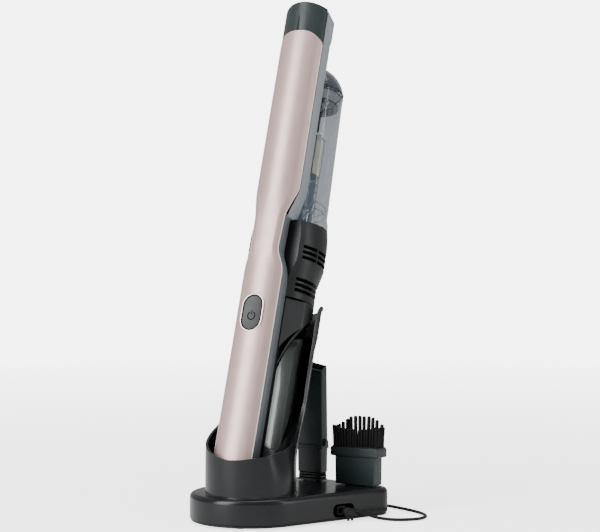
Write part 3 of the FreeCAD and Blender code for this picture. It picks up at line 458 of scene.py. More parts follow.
def cover_outer(z, inset=0.0):
    """The cover's outer line across the width: a crown between two creases, then side facets."""
    half = table_at(HALF_WIDTH, z) - inset
    crease = half - CREASE
    crease_x = arch_x(crease) - CREASE_RISE + inset
    crown = CROWN_X + inset
    drop = crease_x - crown
    radius = (crease ** 2 + drop ** 2) / (2 * drop)
    edge_x = arch_x(half) + (0.2 if inset else 0.0)
    facet = [(edge_x, -half)]
    for t in (1 / 3, 2 / 3):
        swell = FACET_SWELL * math.sin(math.pi * t)
        facet.append((edge_x * (1 - t) + crease_x * t - swell, -half + CREASE * t))
    points = list(facet)
    steps = 22
    for index in range(steps + 1):
        y = -crease + 2 * crease * index / steps
        points.append((crown + radius - math.sqrt(radius ** 2 - y ** 2), y))
    return points + [(x, -y) for x, y in reversed(facet)]


def arched(z, y):
    """Bends heights above ARCH_START so that the level COVER_HIGH becomes the arched top end."""
    side = min(1.0, abs(y) / COVER_HALF)
    lift = ARCH_LIFT - ARCH_DROP * side ** 3.4
    return z + lift * ease((z - ARCH_START) / (COVER_HIGH - ARCH_START))


def cover_rings():
    rings = []
    for z in sorted(set(spread(COVER_LOW, 200.0, 6.0) + spread(200.0, 296.0, 2.0)
                        + spread(296.0, COVER_HIGH, 4.0))):
        outline = cover_outer(z) + cover_outer(z, COVER_WALL)[::-1]
        rings.append([(x, y, arched(z, y)) for x, y in outline])
    return rings


def build_cover():
    bm = cut(loft(cover_rings()), [plate(capsule_points(22.9, 36.4), BUTTON_Z, -60.0, -30.0)])
    piece("cover_rose", bm, VAC, "rose", "vacuum", ["spine_cover"], bevel=0.7, segments=3, smooth=28.0)


def build_cover_rim_highlights():
    """A polished edge strip along each long side of the cover, coloured lighter than the cover as a
    painted highlight.
    """
    for side, name in ((-1, "right"), (1, "left")):
        rings = []
        for z in spread(COVER_LOW + 1.0, COVER_HIGH - 2.0, 3.0):
            half = table_at(HALF_WIDTH, z)
            edge = arch_x(half)
            ring = [(edge - 0.2, half - 0.7), (edge - 0.2, half + 0.05), (edge - 0.05, half + 0.2),
                    (edge + 0.45, half + 0.2), (edge + 0.45, half - 0.7)]
            rings.append([(x, side * y, arched(z, y)) for x, y in ring])
        piece("cover_rim_highlight_" + name, loft(rings), VAC, "rim", "vacuum", smooth=40.0)


build_cover()
build_cover_rim_highlights()


# ------------------------------------------------------------------- nozzle and band


def spine_ring(z, half, rear, corner, inset=0.0):
    """Full outline of the spine: crowned front, straight sides, rounded rear."""
    points = []
    steps = 26
    for index in range(steps + 1):
        y = -half + 2 * half * index / steps
        x = arch_x(y * COVER_HALF / half)
        points.append((x + inset, y * (half - inset) / half))
    radius = max(0.6, corner - inset)
    rx, ry = rear - inset, half - inset
    points += arc_points(rx - radius, ry - radius, radius, 90, 0, 7)
    points += arc_points(rx - radius, -ry + radius, radius, 0, -90, 7)
    return level(points, z)


NOZZLE_LOW, NOZZLE_TIP, NOZZLE_REAR, NOZZLE_SLOPE = 447.5, 482.0, -16.8, 0.37
PORT_Z = 375.5  # the air's way from the duct into the bin


def mouth_cutter():
    """Everything above the slanted plane of the nozzle's mouth."""
    foot = NOZZLE_TIP + NOZZLE_SLOPE * CROWN_X
    corners = [(-60.0, foot + NOZZLE_SLOPE * 60.0), (0.0, foot), (0.0, 540.0), (-60.0, 540.0)]
    return prism(corners, -60.0, 60.0)


def build_nozzle():
    levels = (NOZZLE_LOW, 452.0, 470.0, 500.0)
    outer = [spine_ring(z, COVER_HALF, NOZZLE_REAR, 1.6) for z in levels]
    inner = [spine_ring(z, COVER_HALF, NOZZLE_REAR, 1.6, 2.3) for z in reversed(levels)]
    rings = [[(x, y, arched(z, y) if z == NOZZLE_LOW else z) for x, y, z in ring]
             for ring in outer + inner]
    behind = box_mesh(EDGE_X + 1.1, -40.0, 420.0, 0.0, 40.0, 540.0)
    bm = cut(loft(rings, closed=True), [mouth_cutter(), behind])
    piece("nozzle_shell", bm, VAC, "slate", "vacuum", ["nozzle_cap"], bevel=0.5, segments=3,
          smooth=30.0)


build_nozzle()


def band_ring(z, inset=0.0, front_step=2.6):
    """The grey U behind the cover: front corners, sides and rear."""
    half = table_at([(262.0, 16.4), (266.0, 16.8), (290.0, 22.8)], z) - inset
    front = table_at([(262.0, -40.6), (266.0, -40.6), (290.0, EDGE_X)], z) + front_step
    rears = [(262.0, BAND_REAR), (446.0, BAND_REAR), (449.0, NOZZLE_REAR), (500.0, NOZZLE_REAR)]
    return u_ring(half, front, table_at(rears, z) - inset, max(0.6, 2.0 - inset * 0.6), z)


def build_band():
    levels = sorted(set(spread(262.6, 430.0, 6.0) + spread(430.0, 494.0, 4.0)))
    bm = loft([band_ring(z) + band_ring(z, 2.2)[::-1] for z in levels])
    port = plate(rounded_rect(-11, -12, 11, 12, 4), PORT_Z, -30.0, -10.0)
    bm = cut(bm, [port, mouth_cutter()])
    piece("band_grey", bm, VAC, "grey", "vacuum", ["duct_body"], bevel=0.6, segments=3, smooth=30.0)
    # a black strip in the gap between the cover and the grey band: painted shade of the gap
    seam = loft([band_ring(z, 0.5, -0.1) + band_ring(z, 2.0, -0.1)[::-1]
                 for z in spread(264.0, 474.0, 5.0)])
    seam = cut(seam, [box_mesh(EDGE_X + 4.0, -40.0, 262.0, 0.0, 40.0, 480.0)])
    piece("band_seam_shade", seam, VAC, "dark", "vacuum")
    wall = box_mesh(-35.5, -15.8, 264.0, -20.9, 15.8, 266.5, 2, 7)
    piece("band_end_wall", wall, VAC, "charcoal", "vacuum")


build_band()

# ------------------------------------------------------------------ grip and waist


def build_grip():
    grip = u_wall((19.2, EDGE_X + 0.2, -14.0, 7.0), (17.2, EDGE_X + 0.2, -16.2, 5.0),
                  spread(8.0, 187.6, 12.0))
    screw_hole = circle(0.0, 0.0, 2.9, 24)
    grip = cut(grip, [plate(screw_hole, z, -14.9, -10.0) for z in (30.0, 70.0, 110.0)])
    piece("grip_black", grip, VAC, "black_satin", "vacuum", ["grip_rear_shell"], bevel=0.35,
          smooth=32.0)
    waist = u_wall((14.4, -39.2, -26.4, 4.0), (12.2, -39.2, -28.6, 1.8), (188.0, 212.0, 263.4))
    piece("waist_black", waist, VAC, "black_satin", "vacuum", ["waist_link"], bevel=0.4, smooth=32.0)
    foot = loft([spine_ring(z, 19.2, -14.0, 7.0, inset)
                 for z, inset in ((5.0, 1.4), (5.4, 0.6), (6.2, 0.1), (7.8, 0.0))])
    piece("grip_foot", foot, VAC, "black_satin", "vacuum", ["grip_end_cap"], smooth=40.0)


def build_side_trim():
    """The grey strips between the rose cover and the black rear, one on each side."""
    halves = [(8.0, 19.8), (208.0, 20.2), (214.0, 19.4), (225.0, 15.6), (230.0, 14.8),
              (262.0, 16.0), (266.0, 16.8)]
    rears = [(8.0, -25.5), (196.0, -25.5), (226.0, -31.2), (256.0, -31.2), (266.0, -30.0)]
    for side, name in ((-1, "left"), (1, "right")):
        rings = []
        for z in spread(8.0, 264.0, 4.0):
            outer = table_at(halves, z)
            rear = along(rears, z)
            front = arch_x(outer * 0.985) + 1.9
            ring = [(front, outer - 1.4), (front, outer - 0.2), (front + 0.6, outer),
                    (rear - 0.6, outer), (rear, outer - 0.5), (rear, outer - 1.4)]
            rings.append([(x, side * y, z) for x, y in ring])
        piece("side_trim_" + name, loft(rings), VAC, "grey_deep", "vacuum", smooth=50.0)


build_grip()
build_side_trim()


def raised_rim(outer, inner, x0, x1):
    """A rim between two upright outlines, from its rounded top at x0 back to x1."""
    rings = []
    for outline, x, scale in ((outer, x0, 1.0), (outer, x0 - 0.5, 0.99), (inner, x0 - 0.5, 1.01),
                              (inner, x0, 1.0), (inner, x1, 1.0), (outer, x1, 1.0)):
        rings.append(upright([(a * scale, b * scale) for a, b in outline], x, BUTTON_Z))
    return loft(rings, closed=True)


def build_button():
    rim = raised_rim(capsule_points(22.8, 36.3), capsule_points(20.9, 34.4), -47.0, -42.0)
    piece("button_rim", rim, VAC, "bezel", "vacuum", ["button_bezel"], smooth=50.0)
    # a black plate behind the button: painted shade in the gap around it
    well = plate(capsule_points(20.8, 34.3), BUTTON_Z, -41.2, -40.2)
    piece("button_well_shade", well, VAC, "dark", "vacuum")
    rings = []
    for x, shrink in ((-42.6, 0.0), (-46.2, 0.0), (-46.9, 0.35), (-47.35, 1.0), (-47.6, 2.0),
                      (-47.62, 2.6), (-47.5, 3.6), (-47.35, 5.5)):
        rings.append(upright(capsule_points(19.8 - shrink, 33.3 - shrink), x, BUTTON_Z))
    piece("button_cap", loft(rings), VAC, "button", "button", ["power_button"], smooth=60.0)
    # a generic power sign: an open ring with a short bar in its gap
    centre_z, radius, line = BUTTON_Z - 3.2, 3.7, 0.42
    under, top = -47.2, -47.52
    rings = []
    for index in range(33):
        angle = math.radians(122.0 + 296.0 * index / 32)
        ring = []
        for reach, x in ((radius - line, under), (radius + line, under),
                         (radius + line, top), (radius - line, top)):
            ring.append((x, reach * math.cos(angle), centre_z + reach * math.sin(angle)))
        rings.append(ring)
    piece("button_sign", loft(rings), VAC, "icon", "button")
    bar = box_mesh(top, -line, centre_z + 1.2, under, line, centre_z + 4.9, 0.12, 3)
    piece("button_sign_bar", bar, VAC, "icon", "button")


build_button()

# ------------------------------------------------------------- motor housing and neck

HOUSING = [(188.2, 33.0), (205.5, 33.0), (208.0, 33.5), (222.5, 36.9), (226.5, 37.4), (248.0, 37.2),
           (257.0, 36.4), (263.2, 35.4)]
FACET = 128.0
VENT_ROWS, VENT_PITCH, VENT_HEIGHT = 3, 5.2, 3.3
# each group of vents: its lowest row, then the middle and half width in degrees of each slot
VENTS = ((225.9, ((0, 13.2), (28.5, 13.2), (57, 13.2), (85.5, 13.2), (114, 13.2))),
         (194.6, ((22, 13.2), (65, 20.6), (108, 20.6))))


def facet_ring(radius, flat, z):
    """Round at the back, a plain facet on each side towards the spine, flat in front."""
    points = arc_points(0, 0, radius, -FACET, FACET, 73)
    end = points[-1]
    reach = math.sqrt(radius ** 2 - flat ** 2)
    side = [(end[0] + (flat - end[0]) * index / 8, end[1] + (reach - end[1]) * index / 8)
            for index in range(1, 8)]
    points += side
    points += [(flat, reach - 2 * reach * index / 14) for index in range(15)]
    points += [(x, -y) for x, y in reversed(side)]
    return level(points, z)


def sector(radius0, radius1, angle, half_angle, z0, z1):
    """A block between two radii, curved about the axis, to cut a vent with."""
    rings = []
    for index in range(9):
        turn = math.radians(angle - half_angle + half_angle * index / 4)
        rings.append([(r * math.cos(turn), r * math.sin(turn), z)
                      for r, z in rounded_rect(radius0, z0, radius1, z1, 0.9, 4)])
    return loft(rings)


def merged(meshes):
    """All the meshes in one; the others are freed."""
    base = meshes[0]
    for other in meshes[1:]:
        carrier = bpy.data.meshes.new("carrier")
        other.to_mesh(carrier)
        other.free()
        base.from_mesh(carrier)
        bpy.data.meshes.remove(carrier)
    return base


def build_housing():
    levels = sorted(set([z for z, r in HOUSING] + spread(188.2, 263.2, 5.0)))
    outer = [facet_ring(table_at(HOUSING, z), -26.2, z) for z in levels]
    inner = [facet_ring(table_at(HOUSING, z) - 2.4, -24.0, z) for z in reversed(levels)]
    bm = loft(outer + inner, closed=True)
    slots = []
    for lowest, openings in VENTS:
        for z in [lowest + VENT_PITCH * row for row in range(VENT_ROWS)]:
            for angle, half_angle in openings:
                for side in ((-1, 1) if angle else (1,)):
                    slots.append(sector(28.0, 45.0, side * angle, half_angle, z, z + VENT_HEIGHT))
    recess = plate(rounded_rect(-6.4, 251.6, 6.4, 259.0, 2.6), 0.0, 30.0, 45.0)
    bm = cut(bm, [merged(slots), recess])
    piece("housing_charcoal", bm, VAC, "charcoal", "vacuum", ["motor_housing"], bevel=0.3, smooth=30.0)
    # a black sheet behind the vent slots: painted shade inside the housing
    liner_shade_radii = ((190.0, 29.6), (207.0, 29.6), (222.0, 33.2), (243.0, 33.8))
    liner = loft([facet_ring(r, -22.5, z) for z, r in liner_shade_radii]
                 + [facet_ring(r - 0.8, -21.7, z) for z, r in reversed(liner_shade_radii)], closed=True)
    piece("housing_liner_shade", liner, VAC, "dark", "vacuum")
    # a black ring in the joint between neck and housing: painted shade of the gap
    section = ((32.2, 187.4), (32.2, 188.6), (29.0, 188.6), (29.0, 187.4))
    seam = loft([facet_ring(r, -25.0, z) for r, z in section], closed=True)
    piece("housing_seam_shade", seam, VAC, "dark", "vacuum")


build_housing()


def arc_through(a, m, b, count):
    """Points along the circle through three points in a plane."""
    (ax, ay), (mx, my), (bx, by) = a, m, b
    d = 2 * (ax * (my - by) + mx * (by - ay) + bx * (ay - my))
    ux = ((ax * ax + ay * ay) * (my - by) + (mx * mx + my * my) * (by - ay)
          + (bx * bx + by * by) * (ay - my)) / d
    uy = ((ax * ax + ay * ay) * (bx - mx) + (mx * mx + my * my) * (ax - bx)
          + (bx * bx + by * by) * (mx - ax)) / d
    radius = math.hypot(ax - ux, ay - uy)
    start = math.atan2(ay - uy, ax - ux)
    middle = math.atan2(my - uy, mx - ux)
    stop = math.atan2(by - uy, bx - ux)
    turn = (stop - start) % (2 * math.pi)
    if (middle - start) % (2 * math.pi) > turn:
        turn -= 2 * math.pi
    return [(ux + radius * math.cos(start + turn * index / (count - 1)),
             uy + radius * math.sin(start + turn * index / (count - 1))) for index in range(count)]


def neck_ring(radius, side, front, z):
    """Round at the back, then straight in to the grip's sides."""
    points = arc_points(0, 0, radius, -100.0, 100.0, 61)
    end = points[-1]
    taper = [(end[0] + (front - end[0]) * t / 8, end[1] + (side - end[1]) * t / 8)
             for t in range(1, 9)]
    points += taper + [(x, -y) for x, y in reversed(taper)]
    return level(points, z)


def build_neck():
    levels = spread(118.0, 187.4, 4.0)
    outer = [neck_ring(32.3 + 0.012 * (z - 118.0), 19.8, -23.0, z) for z in levels]
    inner = [neck_ring(29.9 + 0.012 * (z - 118.0), 17.6, -21.5, z) for z in reversed(levels)]
    bm = loft(outer + inner, closed=True)
    under = arc_through((-24.0, 136.0), (-9.0, 160.0), (38.0, 183.0), 30)
    below = under + [(45.0, 183.0), (45.0, 90.0), (-40.0, 90.0), (-40.0, 136.0)]
    bm = cut(bm, [prism(below, -50.0, 50.0)])
    piece("neck_charcoal", bm, VAC, "charcoal", "vacuum", ["neck_shell"], bevel=0.5, segments=3,
          smooth=32.0)
    # the black arched floor, whose rounded rim shows below the neck
    low = arc_through((-14.6, 118.0), (-3.0, 156.0), (31.0, 176.5), 34)
    half_widths = [(118.0, 17.0), (146.0, 25.0), (164.0, 30.5), (200.0, 31.0)]
    rings = []
    for (x, z), (nx, nz) in zip(low, low[1:] + [(low[-1][0] + 1.0, low[-1][1] + 0.3)]):
        length = math.hypot(nx - x, nz - z)
        up = (-(nz - z) / length, (nx - x) / length)
        half = min(math.sqrt(max(16.0, 31.0 ** 2 - x * x)), table_at(half_widths, z))
        ring = []
        for y, lift in ((-half, 5.0), (-half - 0.2, 2.4), (-half + 0.4, 0.6), (-half + 1.6, 0.0),
                        (half - 1.6, 0.0), (half - 0.4, 0.6), (half + 0.2, 2.4), (half, 5.0)):
            ring.append((x + up[0] * lift, y, z + up[1] * lift))
        rings.append(ring)
    piece("neck_arch", loft(rings), VAC, "black", "vacuum", ["neck_floor"], smooth=40.0)


build_neck()

# ------------------------------------------------------------------------- dust bin

BIN_FLAT = -18.1
BIN_TOP = 403.4
BIN = [(264.0, 35.0), (271.0, 34.5), (276.0, 33.0), (BIN_TOP, 30.4)]


def build_bin():
    levels = [264.0, 267.0, 271.0, 273.5, 276.0] + spread(279.0, BIN_TOP, 8.0)
    outer = [d_ring(table_at(BIN, z), BIN_FLAT, z, 2.0) for z in levels]
    inner = [d_ring(table_at(BIN, z) - 1.7, BIN_FLAT + 1.7, z, 1.4) for z in reversed(levels)]
    bm = loft(outer + inner, closed=True)
    port = plate(rounded_rect(-9.5, -11.0, 9.5, 11.0, 4.0), PORT_Z, -25.0, -10.0)
    bm = cut(bm, [port])
    piece("bin_cup", bm, VAC, "clear", "bin", ["dust_bin"], smooth=34.0)
    for index, (z, height) in enumerate(((279.4, 1.0), (286.0, 0.8))):
        rib = d_band(table_at(BIN, z) - 1.9, BIN_FLAT + 1.9, (1.6, 1.5), z, z + height, 1.2)
        piece("bin_rib_%d" % index, rib, VAC, "smoke", "bin")


DOME = [(404.4, 30.4), (408.0, 29.9), (412.0, 28.5), (416.0, 26.4), (420.0, 23.6), (424.0, 19.6),
        (427.0, 15.6), (429.2, 11.4), (430.8, 6.6), (431.6, 2.4)]


def dome_rings(shrink):
    rings = []
    for z, radius in DOME:
        reach = max(0.8, radius - shrink)
        flat = max(BIN_FLAT + shrink, -0.93 * reach)
        rings.append(d_ring(reach, flat, z - shrink * (z - 404.4) / 27.0, min(2.0, reach * 0.3)))
    return rings


def build_lid():
    bm = bmesh.new()
    outer = bridge(bm, dome_rings(0.0), cap=False)
    inner = bridge(bm, dome_rings(1.7), cap=False)
    bm.faces.new(outer[-1])
    bm.faces.new(inner[-1])
    for a in range(len(outer[0])):
        b = (a + 1) % len(outer[0])
        bm.faces.new((outer[0][a], outer[0][b], inner[0][b], inner[0][a]))
    piece("lid_dome", bm, VAC, "clear_dark", "lid", ["bin_lid"], smooth=40.0)
    for name, body, z0, z1, radius in (("low", "bin", 401.6, 402.5, 30.75),
                                       ("high", "lid", 405.4, 406.2, 30.6)):
        ring = d_band(radius, BIN_FLAT - 0.2, (1.0, 1.0), z0, z1, 2.0)
        piece("seal_ring_" + name, ring, VAC, "rubber", body, bevel=0.25)


def build_bin_inside():
    cone = lathe([(11.0, 392.6), (27.4, 391.0), (27.6, 392.6), (13.2, 394.4), (12.0, 399.4),
                  (10.6, 399.4)], 72)
    cone = cut(cone, [box_mesh(-40.0, -40.0, 380.0, -16.0, 40.0, 410.0)])
    piece("partition_cone", cone, VAC, "smoke_dark", "bin", ["bin_partition"], smooth=40.0)
    stations = (-17.9, -6.0, 0.0, 6.6)
    outer = [upright(rounded_rect(-9.2, -10.7, 9.2, 10.7, 4.0, 6), x, PORT_Z) for x in stations]
    inner = [upright(rounded_rect(-7.6, -9.0, 7.6, 9.0, 3.0, 6), x, PORT_Z) for x in stations[::-1]]
    piece("inlet_duct", loft(outer + inner, closed=True), VAC, "smoke", "bin", ["inlet_elbow"],
          bevel=0.4, smooth=40.0)
    axis = VAC @ Matrix.Translation((3.6, 0.0, 0.0))
    rings = []
    pleats = 44
    for z, inset in ((319.3, 0.5), (320.0, 0.0), (338.0, 0.0), (357.0, 0.0), (357.7, 0.5)):
        ring = []
        for index in range(pleats * 4):
            wave = abs((index % 4) - 2) / 2.0
            radius = 15.0 + 1.7 * wave - inset
            angle = 2 * math.pi * index / (pleats * 4)
            ring.append((radius * math.cos(angle), radius * math.sin(angle), z))
        rings.append(ring)
    piece("filter_folds", loft(rings), axis, "filter", "filter", ["filter_pleats"], smooth=20.0)
    tube = lathe([(15.2, 264.6), (23.6, 264.6), (23.6, 266.6), (19.0, 270.2), (17.7, 300.0),
                  (17.4, 318.8), (15.9, 318.8), (16.1, 300.0), (15.8, 271.0)], 80)
    tube = cut(tube, [box_mesh(-60.0, -50.0, 255.0, -19.2, 50.0, 280.0)])
    top = lathe([(0.0, 358.2), (17.4, 358.2), (17.6, 359.6), (14.0, 362.4), (8.0, 363.6),
                 (0.0, 363.8)], 80)
    ribs = []
    for angle in range(0, 360, 60):
        rib = box_mesh(16.5, -0.6, 318.0, 17.5, 0.6, 359.0, 0.3, 3)
        rib.transform(Matrix.Rotation(math.radians(angle), 4, "Z"))
        ribs.append(rib)
    piece("filter_cage", merged([tube, top] + ribs), axis, "smoke", "filter", ["filter_frame"],
          smooth=40.0)


build_bin()
build_lid()
build_bin_inside()

# ------------------------------------------------------------------------------ dock

LOBE_X, DOCK_R = -30.8, 57.2
DOCK_RIGHT, END_TILT = 94.6, math.radians(12.4)
COLLAR = (-37.3, -7.3)


def dock_ring(z, inset):
    r = DOCK_R - inset
    corner = 15.0 - inset
    low = (DOCK_RIGHT - inset / math.cos(END_TILT) - inset * math.tan(END_TILT), -r)
    top = (low[0] - 2 * r * math.tan(END_TILT), r)
    low_centre = (low[0] - corner * (math.tan(END_TILT) + 1 / math.cos(END_TILT)), -r + corner)
    top_centre = (top[0] - corner * (1 / math.cos(END_TILT) - math.tan(END_TILT)), r - corner)
    tilt = math.degrees(END_TILT)
    points = arc_points(low_centre[0], low_centre[1], corner, -90, tilt, 15)
    points += arc_points(top_centre[0], top_centre[1], corner, tilt, 90, 15)
    run = 9
    points += [(top_centre[0] + (LOBE_X - top_centre[0]) * index / run, r) for index in range(1, run)]
    points += arc_points(LOBE_X, 0, r, 90, 270, 61)
    points += [(LOBE_X + (low_centre[0] - LOBE_X) * index / run, -r) for index in range(1, run)]
    return level(points, z)


def build_base():
    rings = [dock_ring(z, inset) for z, inset in ((3.9, 0.6), (4.3, 0.0), (22.0, 0.0))]
    for index in range(1, 9):
        angle = math.radians(90.0 * index / 8)
        rings.append(dock_ring(22.3 + 4.7 * math.sin(angle), 4.7 * (1 - math.cos(angle))))
    bm = loft(rings)
    bm = cut(bm, [prism(rounded_rect(19.5, 4.8, 43.5, 16.6, 5.0), -70.0, -47.0)])
    piece("base_shell", bm, DOCK, "dock", "dock", ["dock_top_shell"], bevel=0.35, smooth=34.0)
    skirt = loft([dock_ring(z, inset)
                  for z, inset in ((1.6, 1.6), (2.1, 1.0), (3.6, 1.0), (3.8, 1.2))])
    piece("base_skirt", skirt, DOCK, "black_satin", "dock", ["dock_bottom_plate"], smooth=40.0)
    # a black plate at the back of the jack recess: painted shade in the recess
    inside = prism(rounded_rect(19.7, 5.0, 43.3, 16.4, 5.0), -47.2, -46.8)
    piece("recess_back_shade", inside, DOCK, "dark", "dock")
    jack = prism(rounded_rect(27.5, 6.0, 36.5, 14.0, 1.0), -52.6, -47.0)
    piece("jack_block", jack, DOCK, "charcoal", "dock", ["dc_jack"], bevel=0.3)


# the collar's height around it: (angle from the back towards -y, height)
RIM = [(-180.0, 61.0), (-158.0, 63.6), (-142.0, 67.2), (-118.0, 75.0), (-98.0, 84.0), (-86.0, 93.0),
       (-80.0, 104.0), (-77.0, 122.0), (-76.0, 190.3), (76.0, 190.3), (77.0, 108.0), (79.0, 86.0),
       (84.0, 75.0), (92.0, 70.4), (104.0, 67.8), (124.0, 65.0), (146.0, 62.8), (164.0, 61.4),
       (180.0, 61.0)]
TUBE_OUT = 39.8
COLLAR_OUT, COLLAR_WALL, COLLAR_FOOT = 41.5, 2.3, 26.6
REST_HALF_ANGLE, REST_HEIGHT, REST_FLARE = 76.0, 188.6, 2.6
VAC_TO_DOCK = DOCK.inverted() @ VAC


def collar_point(angle, z, thickness, flare=0.0):
    """On the collar low down, and on the leaning tube about the vacuum's axis high up.

    The angle is measured from the back towards -y; thickness is taken inwards.
    """
    turn = math.radians(-angle)
    around = math.radians(HEADING_DEG - angle)
    ring_r = COLLAR_OUT - thickness
    low = Vector((COLLAR[0] + ring_r * math.cos(around), COLLAR[1] + ring_r * math.sin(around), z))
    tube_r = TUBE_OUT - thickness + flare
    x, y = tube_r * math.cos(turn), tube_r * math.sin(turn)
    height = (z - AXIS_FOOT.z + math.sin(LEAN) * x) / math.cos(LEAN)
    high = VAC_TO_DOCK @ Vector((x, y, height))
    weight = ease((z - 38.0) / 66.0) * (1.0 - ease((abs(angle) - 84.0) / 50.0))
    return low.lerp(high, weight)


def collar_top(angle):
    """The rim's height; the back-rest is cut square to the leaning vacuum."""
    if abs(angle) > REST_HALF_ANGLE:
        return table_at(RIM, angle)
    drop = math.sin(LEAN) * TUBE_OUT * math.cos(math.radians(angle))
    return AXIS_FOOT.z - drop + math.cos(LEAN) * REST_HEIGHT


def build_collar():
    angles = sorted(set([a for a, z in RIM] + spread(-180.0, -76.0, 4.0) + spread(-76.0, 76.0, 4.0)
                        + spread(76.0, 180.0, 4.0) + [-76.3, 76.3, 76.6]))[:-1]
    rows = 44
    bm = bmesh.new()
    grid = {}
    for side, thickness in ((0, 0.0), (1, COLLAR_WALL)):
        for i, angle in enumerate(angles):
            top = collar_top(angle)
            for j in range(rows + 1):
                t = j / rows
                z = COLLAR_FOOT + (top - COLLAR_FOOT) * t
                near_top = max(0.0, 1.0 - (top - z) / 8.0) if top > 150.0 else 0.0
                flare = REST_FLARE * near_top * near_top
                grid[side, i, j] = bm.verts.new(collar_point(angle, z, thickness, flare))
    count = len(angles)
    for i in range(count):
        k = (i + 1) % count
        for j in range(rows):
            bm.faces.new((grid[0, i, j], grid[0, k, j], grid[0, k, j + 1], grid[0, i, j + 1]))
            bm.faces.new((grid[1, k, j], grid[1, i, j], grid[1, i, j + 1], grid[1, k, j + 1]))
        for j in (0, rows):
            bm.faces.new((grid[0, i, j], grid[0, k, j], grid[1, k, j], grid[1, i, j]))
    piece("collar_shell", bm, DOCK, "dock", "dock", ["dock_collar"], bevel=0.5, segments=3, smooth=50.0)
    foot = [level(circle(*COLLAR, radius, 72), z)
            for radius, z in ((41.2, 26.9), (42.6, 26.9), (42.2, 27.5), (41.4, 28.4))]
    piece("collar_foot", loft(foot, closed=True), DOCK, "dock", "dock", smooth=60.0)


def build_rib():
    face = [(37.2, 35.0), (30.0, 37.0), (25.0, 42.0), (22.4, 50.0), (22.0, 60.0), (22.0, 140.0)]
    face += arc_through((22.0, 146.0), (27.0, 157.0), (37.2, 163.6), 10)
    rings = []
    for y, inset in ((-11.5, 0.8), (-11.2, 0.3), (-10.6, 0.0), (10.6, 0.0), (11.2, 0.3), (11.5, 0.8)):
        rings.append([(min(37.2, x + inset), y, z) for x, z in face])
    piece("rest_rib", loft(rings), VAC, "liner", "dock", ["backrest_rib"], smooth=40.0)
    fin = [(34.4, 34.0), (28.4, 40.0), (26.9, 52.0), (26.9, 150.0), (30.4, 162.0), (34.4, 168.0)]
    for y, name in ((-16.2, "left"), (16.2, "right")):
        piece("rest_fin_" + name, prism(fin, y - 0.8, y + 0.8), VAC, "dock", "dock", bevel=0.3)


build_base()
build_collar()
build_rib()

# ------------------------------------------------------------------------------ tools


def hollow(outer, inner):
    """A tube through rounded boxes given as (z, half x, half y, corner)."""
    rings = [level(rounded_rect(-a, -b, a, b, r), z) for z, a, b, r in list(outer) + list(inner)[::-1]]
    return loft(rings, closed=True)


def slab(z0, z1, outer, hole):
    """A straight tube; outer is (half x, half y, corner), and so is its hole."""
    return hollow([(z0, *outer), (z1, *outer)], [(z0, *hole), (z1, *hole)])


def build_crevice():
    bm = hollow([(61.5, 5.6, 14.0, 1.0), (150.0, 4.4, 13.7, 0.9)],
                [(61.5, 4.2, 12.6, 0.6), (150.0, 3.1, 12.3, 0.5)])
    # the mouth is cut on a slant, lower at the front and at the right
    corners = [(x, y, 137.6 + 0.57 * x + 0.19 * y)
               for x, y in ((-30.0, -40.0), (30.0, -40.0), (30.0, 40.0), (-30.0, 40.0))]
    bm = cut(bm, [loft([corners, [(x, y, 240.0) for x, y, z in corners]])])
    piece("crevice_spout", bm, CREVICE, "slate", "crevice", ["crevice_tool"], bevel=0.3, smooth=32.0)
    lip = slab(58.2, 61.6, (6.7, 14.9, 1.2), (5.4, 12.8, 0.8))
    piece("crevice_flange", lip, CREVICE, "slate", "crevice", bevel=0.35)
    neck = hollow([(35.4, 6.1, 13.3, 1.3), (58.4, 6.2, 13.6, 1.3)],
                  [(35.4, 5.2, 12.2, 0.9), (58.4, 5.2, 12.2, 0.9)])
    piece("crevice_neck", neck, CREVICE, "slate", "crevice", bevel=0.3)
    for index in range(3):
        z = 27.8 + 2.6 * index
        step = slab(z, z + 1.7, (6.1 - 0.2 * index, 13.2 - 0.3 * index, 1.3), (5.0, 12.0, 0.91))
        piece("crevice_step_%d" % index, step, CREVICE, "slate", "crevice", bevel=0.3)
    # a black lining inside the stepped neck: painted shade in the hollow
    core = slab(27.7, 35.5, (5.6, 12.6, 1.2), (5.0, 12.0, 0.84))
    piece("crevice_core_shade", core, CREVICE, "dark", "crevice")
    nub = [(-3.2, 60.8), (3.2, 60.8), (2.6, 65.6), (0.8, 67.6), (-0.8, 67.6), (-2.6, 65.6)]
    piece("crevice_latch", prism(nub, -16.6, -13.4), CREVICE, "slate", "crevice", bevel=0.4)


